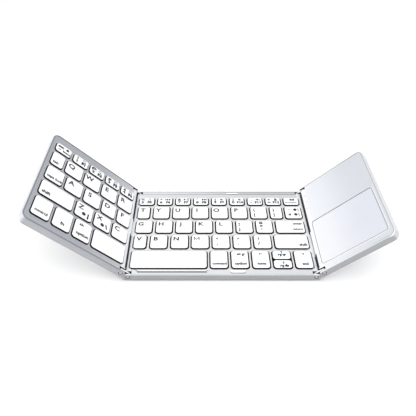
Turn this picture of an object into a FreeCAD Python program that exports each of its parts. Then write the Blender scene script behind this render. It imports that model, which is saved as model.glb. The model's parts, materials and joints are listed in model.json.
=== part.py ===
# Folding keyboard in three sections: a centre section, a left wing with keys
# and a right wing with a touchpad. Each wing is carried on a pair of link
# plates, and every link plate turns on two pins, so a wing can lie flat beside
# the centre, stand up at any angle, or lie face down on it.
#
# Millimetres. X runs along the keyboard to the right, Y to the back, Z up.
# Origin: centre of the centre section's footprint, z = 0 on the soles of the
# feet. Everything is drawn unfolded flat and then swung up to the rest
# position, in which both wings stand 45 degrees above the centre section.
import FreeCAD, Part
import math, os
V = FreeCAD.Vector

# ------------------------------------------------------------ driving sizes
CENTRE_W = 154.5          # centre section, end to end
DEPTH = 99.0              # front to back, all sections
FOOT_H = 0.5              # feet stand this far below the shell
SHELL_T = 6.7             # shell thickness
Z0 = FOOT_H               # underside of the shell
ZT = FOOT_H + SHELL_T     # deck surface
ZP = 1.2 + Z0             # parting plane between bottom cover and upper shell
DECK_T = 1.3              # deck plate
WALL = 1.3                # side walls

HINGE_R = 3.3             # rounded ends of the sections, about each pin
LINK_L = 7.2              # pin to pin along a link plate
PIN_DROP = 2.5            # deck surface above the pin line
PIN_X = CENTRE_W / 2 - HINGE_R      # pin line of the centre section
PIN_Z = ZT - PIN_DROP
LEFT_OUT = 85.9           # left wing, pin line to outer edge
RIGHT_OUT = 61.7          # right wing, pin line to outer edge
WING_X = PIN_X + LINK_L   # pin line of a wing, unfolded
REST_DEG = 45.0           # rest angle of both wings
CORNER_R = 5.5            # outer corners of the wings

LINK_R = 1.7              # rounded ends of the link plates
LINK_T = 2.0              # thickness of the link plates
LINK_Y = 47.05            # middle of a link plate, front and back
SLOT_Y0, SLOT_Y1 = 45.85, 48.25
SLOT_R = 2.75
PIN_R = 1.0
PIN_CLEAR = 0.03
RAIL_Y = 44.6             # dark edge rails run between the hinge lugs
RAIL_IN = 0.25            # rail starts this far outside the pin line
RAIL_TOP = ZT - 0.8       # rail runs under the deck's edge up to here
RAIL_EDGE = 1.8           # deck edge, from the pin line; the rail shows beyond
RAIL_STEP = 0.2           # rail lies this far below the deck where it shows
CABLE_L = (-8.1, 9.9)     # stretches of the seams where the cables cross
CABLE_R = (-30.6, -5.9)

KEY_TOP = ZT + 0.9        # key tops stand proud of the deck
KEY_H = 1.8
KEY_GAP = 0.9             # gap between a key and its opening, centre section
KEY_GAP_L = 0.8           # the same on the left wing
KEY_R = 2.1
BREAK = 0.25              # broken upper edge of the key openings
KEY_TRAVEL = 1.2
KEY_FLOOR = ZT - 2.3      # depth of the key openings
PLATE_Z0, PLATE_Z1 = 3.9, 4.4
THUMB_Y0, THUMB_YB, THUMB_Y1 = -43.7, -44.9, -46.4    # thumb relief: rear, lowest line, front
THUMB_D = 0.5             # its depth
SHEET_Z0, SHEET_Z1 = 4.42, 4.8
PAD_TOP = 4.85

TP_S0, TP_S1 = 1.55, 57.4     # touchpad, from the wing's pin line
TP_Y0, TP_Y1 = -42.6, 3.3

ROW = {1: (30.3, 39.5), 2: (12.9, 27.3), 3: (-4.5, 9.8),
       4: (-22.05, -7.65), 5: (-42.8, -25.15)}

# centre section: x from, x to
C_ROW1 = [(-72.8, -59.6), (-56.0, -43.1), (-39.5, -26.7), (-23.0, -10.3), (-6.6, 6.1),
          (9.8, 22.5), (26.2, 39.0), (42.6, 55.75)]
C_BACKSPACE = (59.2, 72.3)
C_ROW2 = [(-72.6, -62.5), (-58.7, -45.0), (-41.4, -27.5), (-24.3, -10.3), (-6.9, 7.0),
          (10.6, 24.2), (27.8, 41.6), (45.2, 55.3)]
C_BACKSLASH = (58.5, 72.5)
C_ROW3 = [(-72.6, -58.95), (-55.2, -41.6), (-38.1, -24.3), (-20.9, -7.0), (-3.5, 10.1),
          (14.0, 27.6), (31.2, 44.8)]
C_ENTER = (48.4, 72.4)
C_ROW4 = [(-72.5, -62.5), (-58.7, -45.0), (-41.4, -27.5), (-24.3, -10.3), (-6.9, 7.0),
          (10.6, 24.2), (27.8, 41.6)]
C_SHIFT = (45.1, 72.6)
C_SPACE = (-72.9, -12.1)
C_COMMAND = (-8.9, 4.6)
C_ALT = (8.0, 21.3)
C_LEFT = (24.8, 38.2)
C_UPDOWN = (41.6, 55.6)
C_RIGHT = (59.0, 72.5)
UPDOWN_SPLIT = -34.3
UPDOWN_GAP = 1.4

# left wing: distance from the wing's pin line, from and to
L_ROW1 = [(1.6, 15.3), (17.9, 31.8), (34.5, 48.3), (51.1, 64.7)]
L_ESC = (67.7, 81.2)
L_ROW2 = [(1.6, 16.0), (18.6, 33.1), (35.9, 50.7), (53.5, 68.0)]
L_TAB = (70.9, 81.2)
L_ROW3 = [(1.5, 14.0), (16.7, 29.5), (32.1, 46.8), (49.5, 64.1)]
L_CAPS = (66.9, 81.2)
L_ROW4 = [(1.5, 16.0), (18.7, 33.4), (36.0, 50.7)]
L_SHIFT = (53.5, 81.2)
L_SPACE = (1.5, 31.0)
L_ALT = (33.6, 47.7)
L_FN = (50.5, 64.6)
L_CTRL = (67.4, 81.2)

HB = DEPTH / 2
SHAPES = {}


# ---------------------------------------------------------------- helpers
def box(x0, x1, y0, y1, z0, z1):
    return Part.makeBox(x1 - x0, y1 - y0, z1 - z0, V(x0, y0, z0))


def rbox(x0, x1, y0, y1, z0, z1, r):
    b = box(x0, x1, y0, y1, z0, z1)
    es = [e for e in b.Edges if abs(e.Vertexes[0].X - e.Vertexes[1].X) < 1e-6
          and abs(e.Vertexes[0].Y - e.Vertexes[1].Y) < 1e-6]
    return b.makeFillet(r, es)


def cyl_z(x, y, z0, z1, r):
    return Part.makeCylinder(r, z1 - z0, V(x, y, z0), V(0, 0, 1))


def cyl_y(x, z, y0, y1, r):
    return Part.makeCylinder(r, y1 - y0, V(x, y0, z), V(0, 1, 0))


def fuse(shapes):
    s = shapes[0]
    if len(shapes) > 1:
        s = s.multiFuse(shapes[1:])
    return s.removeSplitter()


def group(shapes):
    return Part.makeCompound(shapes)


def mirror_x(s):
    return s.mirror(V(0, 0, 0), V(1, 0, 0))


def end_profile(x_pin, x_far, far_round):
    """Section outline in XZ: rounded hinge end about x_pin on the high-x side,
    plain or rounded hinge end on the other."""
    e = math.sqrt(HINGE_R ** 2 - PIN_DROP ** 2)
    a = math.atan2(PIN_DROP, e) / 2
    xr = x_pin + HINGE_R
    edges = []

    def arc(xc, sgn):
        p1 = V(xc + sgn * e, 0, ZT)
        p2 = V(xc + sgn * HINGE_R * math.cos(a), 0, PIN_Z + HINGE_R * math.sin(a))
        p3 = V(xc + sgn * HINGE_R, 0, PIN_Z)
        return p1, p2, p3
    r1, r2, r3 = arc(x_pin, 1)
    c = 0.4
    edges.append(Part.Arc(r1, r2, r3).toShape())
    rb = V(xr, 0, Z0 + c)
    rb2 = V(xr - c, 0, Z0)
    edges.append(Part.LineSegment(r3, rb).toShape())
    edges.append(Part.LineSegment(rb, rb2).toShape())
    if far_round:
        l1, l2, l3 = arc(x_far, -1)
        lb = V(x_far - HINGE_R, 0, Z0 + c)
        lb2 = V(x_far - HINGE_R + c, 0, Z0)
        edges.append(Part.LineSegment(rb2, lb2).toShape())
        edges.append(Part.LineSegment(lb2, lb).toShape())
        edges.append(Part.LineSegment(lb, l3).toShape())
        edges.append(Part.Arc(l3, l2, l1).toShape())
        edges.append(Part.LineSegment(l1, r1).toShape())
    else:
        f0 = V(x_far, 0, Z0)
        f1 = V(x_far, 0, ZT)
        edges.append(Part.LineSegment(rb2, f0).toShape())
        edges.append(Part.LineSegment(f0, f1).toShape())
        edges.append(Part.LineSegment(f1, r1).toShape())
    w = Part.Wire(Part.__sortEdges__(edges))
    f = Part.Face(w)
    s = f.extrude(V(0, DEPTH + 10, 0))
    s.translate(V(0, -HB - 5, 0))
    return s


TOP_R = 0.6
BOT_R = 0.35


def yz_profile(x0, x1):
    """Bar along X with the front and back edges rounded."""
    b = box(x0, x1, -HB, HB, Z0, ZT)
    top = [e for e in b.Edges if abs(e.Vertexes[0].Z - ZT) < 1e-6 and abs(e.Vertexes[1].Z - ZT) < 1e-6
           and abs(e.Vertexes[0].Y - e.Vertexes[1].Y) < 1e-6]
    b = b.makeFillet(TOP_R, top)
    bot = [e for e in b.Edges if abs(e.BoundBox.ZMax - Z0) < 1e-6 and e.BoundBox.YLength < 1e-6
           and e.BoundBox.XLength > 10]
    return b.makeFillet(BOT_R, bot)


def centre_outer():
    a = end_profile(PIN_X, -PIN_X, True)
    return a.common(yz_profile(-CENTRE_W / 2 - 5, CENTRE_W / 2 + 5))


def wing_outer(out):
    """Wing outline with its pin line at x = 0 and the wing towards -x."""
    a = end_profile(0.0, -out, False)
    b = box(-out, 12, -HB, HB, Z0, ZT)
    es = [e for e in b.Edges if abs(e.Vertexes[0].X + out) < 1e-6 and abs(e.Vertexes[1].X + out) < 1e-6
          and abs(e.Vertexes[0].Y - e.Vertexes[1].Y) < 1e-6]
    b = b.makeFillet(CORNER_R, es)
    top = [e for e in b.Edges if abs(e.BoundBox.ZMin - ZT) < 1e-6 and e.BoundBox.XMin < 11]
    b = b.makeFillet(TOP_R, top)
    bot = [e for e in b.Edges if abs(e.BoundBox.ZMax - Z0) < 1e-6 and e.BoundBox.XMin < 11]
    b = b.makeFillet(BOT_R, bot)
    return a.common(b)          # pin line at 0, body towards -x


def slot_cutter(x_pin, sgn, y0, y1):
    """Room for a link plate at a section's end; sgn is +1 where the plate
    leaves towards +x."""
    c = cyl_y(x_pin, PIN_Z, y0, y1, SLOT_R)
    up = box(x_pin - SLOT_R, x_pin + SLOT_R, y0, y1, PIN_Z, ZT + 1)
    if sgn > 0:
        out = box(x_pin, x_pin + HINGE_R + 1, y0, y1, PIN_Z - LINK_R - 0.3, ZT + 1)
    else:
        out = box(x_pin - HINGE_R - 1, x_pin, y0, y1, PIN_Z - LINK_R - 0.3, ZT + 1)
    low = box(x_pin - SLOT_R, x_pin + SLOT_R, y0, y1, 0, PIN_Z - LINK_R - 0.3)
    return c.fuse([up, out]).cut(low)


def key_cap(x0, x1, y0, y1):
    """Thin-walled keycap with rounded corners, a drafted skirt and a stem."""
    z0, z1 = KEY_TOP - KEY_H, KEY_TOP
    k = rbox(x0, x1, y0, y1, z0, z1, KEY_R)
    top = [e for e in k.Edges if abs(e.BoundBox.ZMin - z1) < 1e-6]
    k = k.makeFillet(0.3, top)
    t = 0.9
    inner = rbox(x0 + t, x1 - t, y0 + t, y1 - t, z0 - 1, z1 - 0.8, KEY_R - t)
    k = k.cut(inner)
    cx, cy = (x0 + x1) / 2, (y0 + y1) / 2
    stem = box(cx - 1.6, cx + 1.6, cy - 1.2, cy + 1.2, z0, z1 - 0.7)
    k = k.fuse(stem).removeSplitter()
    return k.Solids[0]


def opening(x0, x1, y0, y1, g=KEY_GAP):
    """Cutter for a key opening with a broken upper edge."""
    r = KEY_R + 0.8 * g
    a = rbox(x0 - g, x1 + g, y0 - g, y1 + g, KEY_FLOOR, ZT + 1, r)
    g += BREAK
    b = rbox(x0 - g, x1 + g, y0 - g, y1 + g, ZT - BREAK, ZT + 1, r + BREAK)
    b = b.makeChamfer(BREAK * 0.999, [e for e in b.Edges if abs(e.BoundBox.ZMax - ZT + BREAK) < 1e-6])
    return a.fuse(b)


def scoop(top, low):
    """Cutter with a four-cornered rim at deck level, first and last corner at
    the rear, and a floor line THUMB_D lower joined to it by flat faces."""
    zt, zl = ZT + 0.001, ZT - THUMB_D
    t = [V(x, y, zt) for x, y in top]
    b = [V(low[0][0], THUMB_Y0, ZT - 0.04), V(low[1][0], low[1][1], zl), V(low[2][0], low[2][1], zl),
         V(low[3][0], THUMB_Y0, ZT - 0.04)]

    def face(*p):
        return Part.Face(Part.makePolygon(list(p) + [p[0]]))
    fs = [face(*t), face(b[0], b[1], b[2], b[3]), face(t[0], t[3], b[3], b[0]),
          face(t[1], t[2], b[2], b[1])]
    for i, j in ((0, 1), (3, 2)):
        fs += [face(t[i], t[j], b[j]), face(t[i], b[j], b[i])]
    return Part.Solid(Part.Shell(fs)).removeSplitter()


def screw(x, y):
    """Small countersunk machine screw, head down, cross recess."""
    head = cyl_z(x, y, Z0 + 0.06, Z0 + 0.6, 1.4)
    shank = cyl_z(x, y, Z0 + 0.6, 4.4, 0.7)
    s = head.fuse(shank).removeSplitter()
    a = box(x - 0.8, x + 0.8, y - 0.16, y + 0.16, 0, Z0 + 0.36)
    b = box(x - 0.16, x + 0.16, y - 0.8, y + 0.8, 0, Z0 + 0.36)
    return s.cut(a.fuse(b)).Solids[0]


def screw_hole(x, y):
    return cyl_z(x, y, 0, Z0 + 0.62, 1.55).fuse(cyl_z(x, y, 0, ZP + 0.1, 0.85))


def boss(x, y):
    return cyl_z(x, y, ZP, ZT - DECK_T + 0.2, 1.7)


def boss_hole(x, y):
    return cyl_z(x, y, 0, 4.7, 0.75)


def foot(x, y, r=3.2):
    f = cyl_z(x, y, 0, Z0 + 0.4, r)
    es = [e for e in f.Edges if abs(e.BoundBox.ZMax) < 1e-6 and e.BoundBox.ZLength < 1e-6 and e.BoundBox.XLength > 1]
    return f.makeFillet(0.25, es).Solids[0]


def foot_recess(x, y, r=3.25):
    return cyl_z(x, y, 0, Z0 + 0.4, r)


def pin(x, side):
    """Hinge pin with a small head at the section's outer face."""
    if side < 0:
        a = cyl_y(x, PIN_Z, -HB + 0.08, -44.75, PIN_R)
        h = cyl_y(x, PIN_Z, -HB + 0.08, -HB + 0.48, 1.2)
    else:
        a = cyl_y(x, PIN_Z, 44.75, HB - 0.08, PIN_R)
        h = cyl_y(x, PIN_Z, HB - 0.48, HB - 0.08, 1.2)
    return a.fuse(h).removeSplitter().Solids[0]


def pin_hole(x, side):
    if side < 0:
        a = cyl_y(x, PIN_Z, -HB - 1, -44.7, PIN_R)
        h = cyl_y(x, PIN_Z, -HB - 1, -HB + 0.48, 1.6)
    else:
        a = cyl_y(x, PIN_Z, 44.7, HB + 1, PIN_R)
        h = cyl_y(x, PIN_Z, HB - 0.48, HB + 1, 1.6)
    return a.fuse(h)


def link_plate(x_in, x_out, y):
    """Straight bar with two round ends and two pin holes."""
    y0, y1 = y - LINK_T / 2, y + LINK_T / 2
    a = cyl_y(x_in, PIN_Z, y0, y1, LINK_R)
    b = cyl_y(x_out, PIN_Z, y0, y1, LINK_R)
    m = box(min(x_in, x_out), max(x_in, x_out), y0, y1, PIN_Z - LINK_R, PIN_Z + LINK_R)
    s = a.fuse([b, m]).removeSplitter()
    s = s.makeFillet(0.25, [e for e in s.Edges if e.BoundBox.YLength < 1e-6])
    s = s.cut(cyl_y(x_in, PIN_Z, y0 - 1, y1 + 1, PIN_R + PIN_CLEAR))
    s = s.cut(cyl_y(x_out, PIN_Z, y0 - 1, y1 + 1, PIN_R + PIN_CLEAR))
    return s.Solids[0]


def rail_blank(outer, x_pin, sgn, y0, y1, step=RAIL_STEP):
    """Filler along a section's end, between the lugs; sgn is the direction
    from the pin line to the seam."""
    def bx(d, z):
        a, b = sorted((x_pin + sgn * d, x_pin + sgn * (HINGE_R + 1)))
        return box(a, b, y0, y1, ZP, z)
    return outer.common(bx(RAIL_IN, RAIL_TOP).fuse(bx(RAIL_EDGE, ZT - step))).removeSplitter().Solids[0]


def rail_room(x_pin, sgn, y0, y1):
    def bx(d, z):
        a, b = sorted((x_pin + sgn * d, x_pin + sgn * (HINGE_R + 1)))
        return box(a, b, y0, y1, ZP - 1, z)
    return bx(RAIL_IN, RAIL_TOP).fuse(bx(RAIL_EDGE, ZT + 1))


def swing(shape, side):
    """Turn a flat-drawn shape up to the rest position; side -1 left, +1 right."""
    s = shape.copy()
    s.rotate(V(side * PIN_X, 0, PIN_Z), V(0, 1, 0), -side * REST_DEG)
    return s


# ------------------------------------------------------- key layouts
def centre_keys():
    y = ROW
    k = {}
    k["keys_5_to_equals"] = [(a, b) + y[1] for a, b in C_ROW1]
    k["key_backspace"] = [C_BACKSPACE + y[1]]
    k["keys_t_to_bracket"] = [(a, b) + y[2] for a, b in C_ROW2]
    k["key_backslash"] = [C_BACKSLASH + y[2]]
    k["keys_g_to_quote"] = [(a, b) + y[3] for a, b in C_ROW3]
    k["key_enter"] = [C_ENTER + y[3]]
    k["keys_v_to_slash"] = [(a, b) + y[4] for a, b in C_ROW4]
    k["key_shift_right"] = [C_SHIFT + y[4]]
    k["key_space_right"] = [C_SPACE + y[5]]
    k["key_command"] = [C_COMMAND + y[5]]
    k["key_alt_right"] = [C_ALT + y[5]]
    k["key_arrow_left"] = [C_LEFT + y[5]]
    k["key_arrow_up"] = [C_UPDOWN + (UPDOWN_SPLIT + UPDOWN_GAP / 2, y[5][1])]
    k["key_arrow_down"] = [C_UPDOWN + (y[5][0], UPDOWN_SPLIT - UPDOWN_GAP / 2)]
    k["key_arrow_right"] = [C_RIGHT + y[5]]
    return k


def left_keys():
    y = ROW

    def f(s0, s1, r):
        return (-WING_X - s1, -WING_X - s0) + y[r]
    k = {}
    k["keys_1_to_4"] = [f(a, b, 1) for a, b in L_ROW1]
    k["key_escape"] = [f(L_ESC[0], L_ESC[1], 1)]
    k["keys_q_to_r"] = [f(a, b, 2) for a, b in L_ROW2]
    k["key_tab"] = [f(L_TAB[0], L_TAB[1], 2)]
    k["keys_a_to_f"] = [f(a, b, 3) for a, b in L_ROW3]
    k["key_caps_lock"] = [f(L_CAPS[0], L_CAPS[1], 3)]
    k["keys_z_to_c"] = [f(a, b, 4) for a, b in L_ROW4]
    k["key_shift_left"] = [f(L_SHIFT[0], L_SHIFT[1], 4)]
    k["key_space_left"] = [f(L_SPACE[0], L_SPACE[1], 5)]
    k["key_alt_left"] = [f(L_ALT[0], L_ALT[1], 5)]
    k["key_function"] = [f(L_FN[0], L_FN[1], 5)]
    k["key_control"] = [f(L_CTRL[0], L_CTRL[1], 5)]
    return k


# ------------------------------------------------------- centre section
CK = centre_keys()
outer = centre_outer()
C_SCREWS = [(-60, 45.4), (0, 45.4), (60, 45.4), (-60, -45.75), (0, -45.75), (60, -45.75)]
C_FEET = [(-66, 39), (66, 39), (-66, -39), (66, -39), (0, 0)]
CAV_X = 70.0

deck = outer.common(box(-90, 90, -60, 60, ZP, 20))
cav = rbox(-CAV_X, CAV_X, -HB + WALL, HB - WALL, ZP - 1, ZT - DECK_T, 1.2)
cav_cut = cav
for x, y in C_SCREWS:
    cav_cut = cav_cut.cut(boss(x, y))
deck = deck.cut(cav_cut)
cuts = []
for name, ks in CK.items():
    if name in ("key_arrow_up", "key_arrow_down"):
        continue
    for k in ks:
        cuts.append(opening(*k))
cuts.append(opening(C_UPDOWN[0], C_UPDOWN[1], ROW[5][0], ROW[5][1]))
for sx in (-1, 1):
    cuts.append(slot_cutter(sx * PIN_X, sx, SLOT_Y0, SLOT_Y1))
    cuts.append(slot_cutter(sx * PIN_X, sx, -SLOT_Y1, -SLOT_Y0))
    cuts.append(pin_hole(sx * PIN_X, 1))
    cuts.append(pin_hole(sx * PIN_X, -1))
    c0, c1 = CABLE_L if sx < 0 else CABLE_R      # the deck reaches the seam at the cable
    cuts.append(rail_room(sx * PIN_X, sx, -RAIL_Y, c0))
    cuts.append(rail_room(sx * PIN_X, sx, c1, RAIL_Y))
for x, y in C_SCREWS:
    cuts.append(boss_hole(x, y))
# thumb relief in front of the space bar: a scoop that falls from the opening
# and rises again to the front rim and to both ends
cuts.append(scoop([(-69.4, THUMB_Y0), (-66.4, THUMB_Y1), (-12.6, THUMB_Y1), (-9.6, THUMB_Y0)],
                  [(-67.6, THUMB_Y0), (-66.1, THUMB_YB), (-12.9, THUMB_YB), (-11.4, THUMB_Y0)]))
# fine joint line along the rear rim
cuts.append(box(-71.5, 71.5, 44.9, 45.3, ZT - 0.3, ZT + 1))
# seats for the two bumpers
BUMP_REAR = (12.4, 46.5, 10.8, 1.8)
cuts.append(rbox(BUMP_REAR[0] - BUMP_REAR[2] / 2, BUMP_REAR[0] + BUMP_REAR[2] / 2,
                 BUMP_REAR[1] - BUMP_REAR[3] / 2, BUMP_REAR[1] + BUMP_REAR[3] / 2, ZT - 0.4, ZT + 1, 0.85))
FB = [(5.9, -44.6), (18.9, -44.6), (17.3, -47.2), (7.9, -47.2)]


def front_bumper(z0, z1, grow=0.0):
    pts = [V(x + (grow if x > 13 else -grow), y + (grow if y > -46 else -grow), z0) for x, y in FB]
    w = Part.makePolygon(pts + [pts[0]])
    s = Part.Face(w).extrude(V(0, 0, z1 - z0))
    es = [e for e in s.Edges if e.BoundBox.ZLength > (z1 - z0) - 1e-6]
    return s.makeFillet(0.5, es)


cuts.append(front_bumper(ZT - 0.4, ZT + 1, 0.0))
deck = deck.cut(cuts)
SHAPES["center_deck"] = max(deck.Solids, key=lambda s: s.Volume)

base = outer.common(box(-90, 90, -60, 60, 0, ZP))
RIB_Y = (-34.1, -15.0, 2.3, 19.8, 35.3)
ribs = [box(-68, 68, y - 0.6, y + 0.6, ZP - 0.1, PLATE_Z0) for y in RIB_Y]
base = fuse([base] + ribs)
bcuts = [screw_hole(x, y) for x, y in C_SCREWS] + [foot_recess(x, y) for x, y in C_FEET]
base = base.cut(bcuts)
SHAPES["center_base"] = max(base.Solids, key=lambda s: s.Volume)

SHAPES["center_feet"] = group([foot(x, y) for x, y in C_FEET])
SHAPES["center_screws"] = group([screw(x, y) for x, y in C_SCREWS])
SHAPES["center_hinge_pins"] = group([pin(sx * PIN_X, sy) for sx in (-1, 1) for sy in (-1, 1)])
SHAPES["center_hinge_rails"] = group([
    rail_blank(outer, sx * PIN_X, sx, y0, y1)
    for sx, c in ((-1, CABLE_L), (1, CABLE_R)) for y0, y1 in ((-RAIL_Y, c[0]), (c[1], RAIL_Y))])

PLATE_Y = 43.6


def key_plate(x0, x1, keys):
    p = rbox(x0, x1, -PLATE_Y, PLATE_Y, PLATE_Z0, PLATE_Z1, 1.5)
    holes = []
    for ks in keys.values():
        for a, b, c, d in ks:
            cx, cy = (a + b) / 2, (c + d) / 2
            w = min(b - a, 12.0) * 0.28
            h = min(d - c, 12.0) * 0.26
            holes.append(box(cx - w, cx + w, cy - h, cy + h, PLATE_Z0 - 1, PLATE_Z1 + 1))
    return p.cut(holes).Solids[0]


def switch_sheet(x0, x1, keys):
    p = rbox(x0, x1, -PLATE_Y, PLATE_Y, SHEET_Z0, SHEET_Z1, 1.5)
    pads = []
    for ks in keys.values():
        for a, b, c, d in ks:
            pads.append(cyl_z((a + b) / 2, (c + d) / 2, SHEET_Z1 - 0.1, PAD_TOP, 2.4))
    return fuse([p] + pads).Solids[0]


SHAPES["center_key_plate"] = key_plate(-CAV_X + 0.3, CAV_X - 0.3, CK)
SHAPES["center_switch_sheet"] = switch_sheet(-CAV_X + 0.3, CAV_X - 0.3, CK)

PAD_UP = 0.4
rb = rbox(BUMP_REAR[0] - BUMP_REAR[2] / 2, BUMP_REAR[0] + BUMP_REAR[2] / 2,
          BUMP_REAR[1] - BUMP_REAR[3] / 2, BUMP_REAR[1] + BUMP_REAR[3] / 2, ZT - 0.4, ZT + PAD_UP, 0.85)
rb = rb.makeFillet(0.15, [e for e in rb.Edges if abs(e.BoundBox.ZMin - ZT - PAD_UP) < 1e-6])
fb = front_bumper(ZT - 0.4, ZT + PAD_UP)
fb = fb.makeFillet(0.15, [e for e in fb.Edges if abs(e.BoundBox.ZMin - ZT - PAD_UP) < 1e-6])
SHAPES["center_bumpers"] = group([rb.Solids[0], fb.Solids[0]])

for name, ks in CK.items():
    caps = [key_cap(*k) for k in ks]
    SHAPES[name] = caps[0] if len(caps) == 1 else group(caps)


# ------------------------------------------------------- wings
def wing(side, out, keys, screws, feet, touch):
    """Flat-drawn wing at its unfolded place. side -1 left, +1 right."""
    o = wing_outer(out)                      # pin line at 0, body to -x
    if side > 0:
        o = mirror_x(o)                      # body to +x
    o.translate(V(side * WING_X, 0, 0))
    xp = side * WING_X

    def sx(s):                               # s counts outwards from the pin line
        return xp + side * s

    def sbox(s0, s1, y0, y1, z0, z1):
        a, b = sorted((sx(s0), sx(s1)))
        return box(a, b, y0, y1, z0, z1)

    def srbox(s0, s1, y0, y1, z0, z1, r):
        a, b = sorted((sx(s0), sx(s1)))
        return rbox(a, b, y0, y1, z0, z1, r)

    up = o.common(sbox(-20, out + 20, -60, 60, ZP, 20))
    cav = srbox(PIN_X - CAV_X, out - WALL, -HB + WALL, HB - WALL, ZP - 1, ZT - DECK_T, 1.2)
    corner = srbox(PIN_X - CAV_X - 20, out - WALL, -HB + WALL, HB - WALL, ZP - 2, ZT, CORNER_R - WALL)
    cav = cav.common(corner)
    for x, y in screws:
        cav = cav.cut(boss(sx(x), y))
    up = up.cut(cav)
    cuts = []
    for ks in keys.values():
        for k in ks:
            cuts.append(opening(*k, KEY_GAP_L))
    cuts.append(slot_cutter(xp, -side, SLOT_Y0, SLOT_Y1))
    cuts.append(slot_cutter(xp, -side, -SLOT_Y1, -SLOT_Y0))
    cuts.append(pin_hole(xp, 1))
    cuts.append(pin_hole(xp, -1))
    cuts.append(rail_room(xp, -side, -RAIL_Y, RAIL_Y))
    for x, y in screws:
        cuts.append(boss_hole(sx(x), y))
    if touch:
        cuts.append(srbox(TP_S0 - 0.35, TP_S1 + 0.35, TP_Y0 - 0.35, TP_Y1 + 0.35, ZT - 0.85, ZT + 1, 1.85))
        cuts.append(srbox(TP_S0 + 2.2, TP_S1 - 2.2, TP_Y0 + 2.2, TP_Y1 - 2.2, ZP, ZT, 1.5))
        for y in LED_Y:
            cuts.append(srbox(LED_S0, LED_S1, y - 0.35, y + 0.35, ZP, ZT + 1, 0.3))
        cuts.append(sbox(0.3, PIN_X - CAV_X + 1, LED_Y[2] - 3, LED_Y[0] + 3, ZP - 1, 5.2))
        cuts.append(rbox(sx(PORT_S) - 4.6, sx(PORT_S) + 4.6, PORT_Y0, 60, PORT_Z - 1.75, PORT_Z + 1.75, 0.1))
    up = up.cut(cuts)
    up = max(up.Solids, key=lambda s: s.Volume)

    b = o.common(sbox(-20, out + 20, -60, 60, 0, ZP))
    extra = []
    if not touch:
        extra = [sbox(4, out - 5, y - 0.6, y + 0.6, ZP - 0.1, PLATE_Z0) for y in RIB_Y]
    else:
        # low walls that locate the battery and the board
        extra = [sbox(4.2, 56.8, 3.4, 4.4, ZP - 0.1, 4.6),
                 sbox(56.9, 57.9, -40.0, 4.4, ZP - 0.1, 4.6),
                 sbox(6, 10, 12, 16, ZP - 0.1, 2.3), sbox(50, 54, 12, 16, ZP - 0.1, 2.3),
                 sbox(6, 10, 38, 42, ZP - 0.1, 2.3), sbox(50, 54, 38, 42, ZP - 0.1, 2.3)]
    b = fuse([b] + extra)
    b = b.cut([screw_hole(sx(x), y) for x, y in screws] + [foot_recess(sx(x), y) for x, y in feet])
    b = max(b.Solids, key=lambda s: s.Volume)
    return o, up, b, sx, sbox, srbox


LED_Y = (36.8, 29.0, 21.0)
LED_S0, LED_S1 = 0.4, 2.3
PORT_S = 30.0
PORT_Z = 4.0
PORT_Y0 = 40.4

# left wing
LK = left_keys()
L_SCREWS = [(14, 45.4), (72, 45.4), (14, -45.75), (72, -45.75)]
L_FEET = [(78, 39), (78, -39)]
o, up, b, sx, sbox, srbox = wing(-1, LEFT_OUT, LK, L_SCREWS, L_FEET, False)
SHAPES["left_deck"] = swing(up, -1)
SHAPES["left_base"] = swing(b, -1)
SHAPES["left_hinge_rail"] = swing(group([rail_blank(o, -WING_X, 1, -RAIL_Y, CABLE_L[0]),
                                         rail_blank(o, -WING_X, 1, CABLE_L[1], RAIL_Y)]), -1)
SHAPES["left_cable_cover"] = swing(rail_blank(o, -WING_X, 1, CABLE_L[0], CABLE_L[1], 0.0), -1)
SHAPES["left_feet"] = swing(group([foot(sx(x), y) for x, y in L_FEET]), -1)
SHAPES["left_screws"] = swing(group([screw(sx(x), y) for x, y in L_SCREWS]), -1)
SHAPES["left_hinge_pins"] = swing(group([pin(-WING_X, -1), pin(-WING_X, 1)]), -1)
lx0, lx1 = -WING_X - LEFT_OUT + WALL + 1.0, -WING_X - (PIN_X - CAV_X) - 0.3
SHAPES["left_key_plate"] = swing(key_plate(lx0, lx1, LK), -1)
SHAPES["left_switch_sheet"] = swing(switch_sheet(lx0, lx1, LK), -1)
for name, ks in LK.items():
    caps = [key_cap(*k) for k in ks]
    SHAPES[name] = swing(caps[0] if len(caps) == 1 else group(caps), -1)
SHAPES["left_link_plates"] = swing(group([link_plate(-PIN_X, -WING_X, -LINK_Y), link_plate(-PIN_X, -WING_X, LINK_Y)]), -1)

# right wing
R_SCREWS = [(12, 45.4), (50, 45.4), (12, -45.75), (50, -45.75)]
R_FEET = [(53.5, 40), (53.5, -40)]
o, up, b, sx, sbox, srbox = wing(1, RIGHT_OUT, {}, R_SCREWS, R_FEET, True)
SHAPES["right_deck"] = swing(up, 1)
SHAPES["right_base"] = swing(b, 1)
SHAPES["right_hinge_rail"] = swing(group([rail_blank(o, WING_X, -1, -RAIL_Y, CABLE_R[0]),
                                          rail_blank(o, WING_X, -1, CABLE_R[1], RAIL_Y)]), 1)
SHAPES["right_cable_cover"] = swing(rail_blank(o, WING_X, -1, CABLE_R[0], CABLE_R[1], 0.0), 1)
SHAPES["right_feet"] = swing(group([foot(sx(x), y) for x, y in R_FEET]), 1)
SHAPES["right_screws"] = swing(group([screw(sx(x), y) for x, y in R_SCREWS]), 1)
SHAPES["right_hinge_pins"] = swing(group([pin(WING_X, -1), pin(WING_X, 1)]), 1)
SHAPES["right_link_plates"] = swing(group([link_plate(PIN_X, WING_X, -LINK_Y), link_plate(PIN_X, WING_X, LINK_Y)]), 1)

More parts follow.
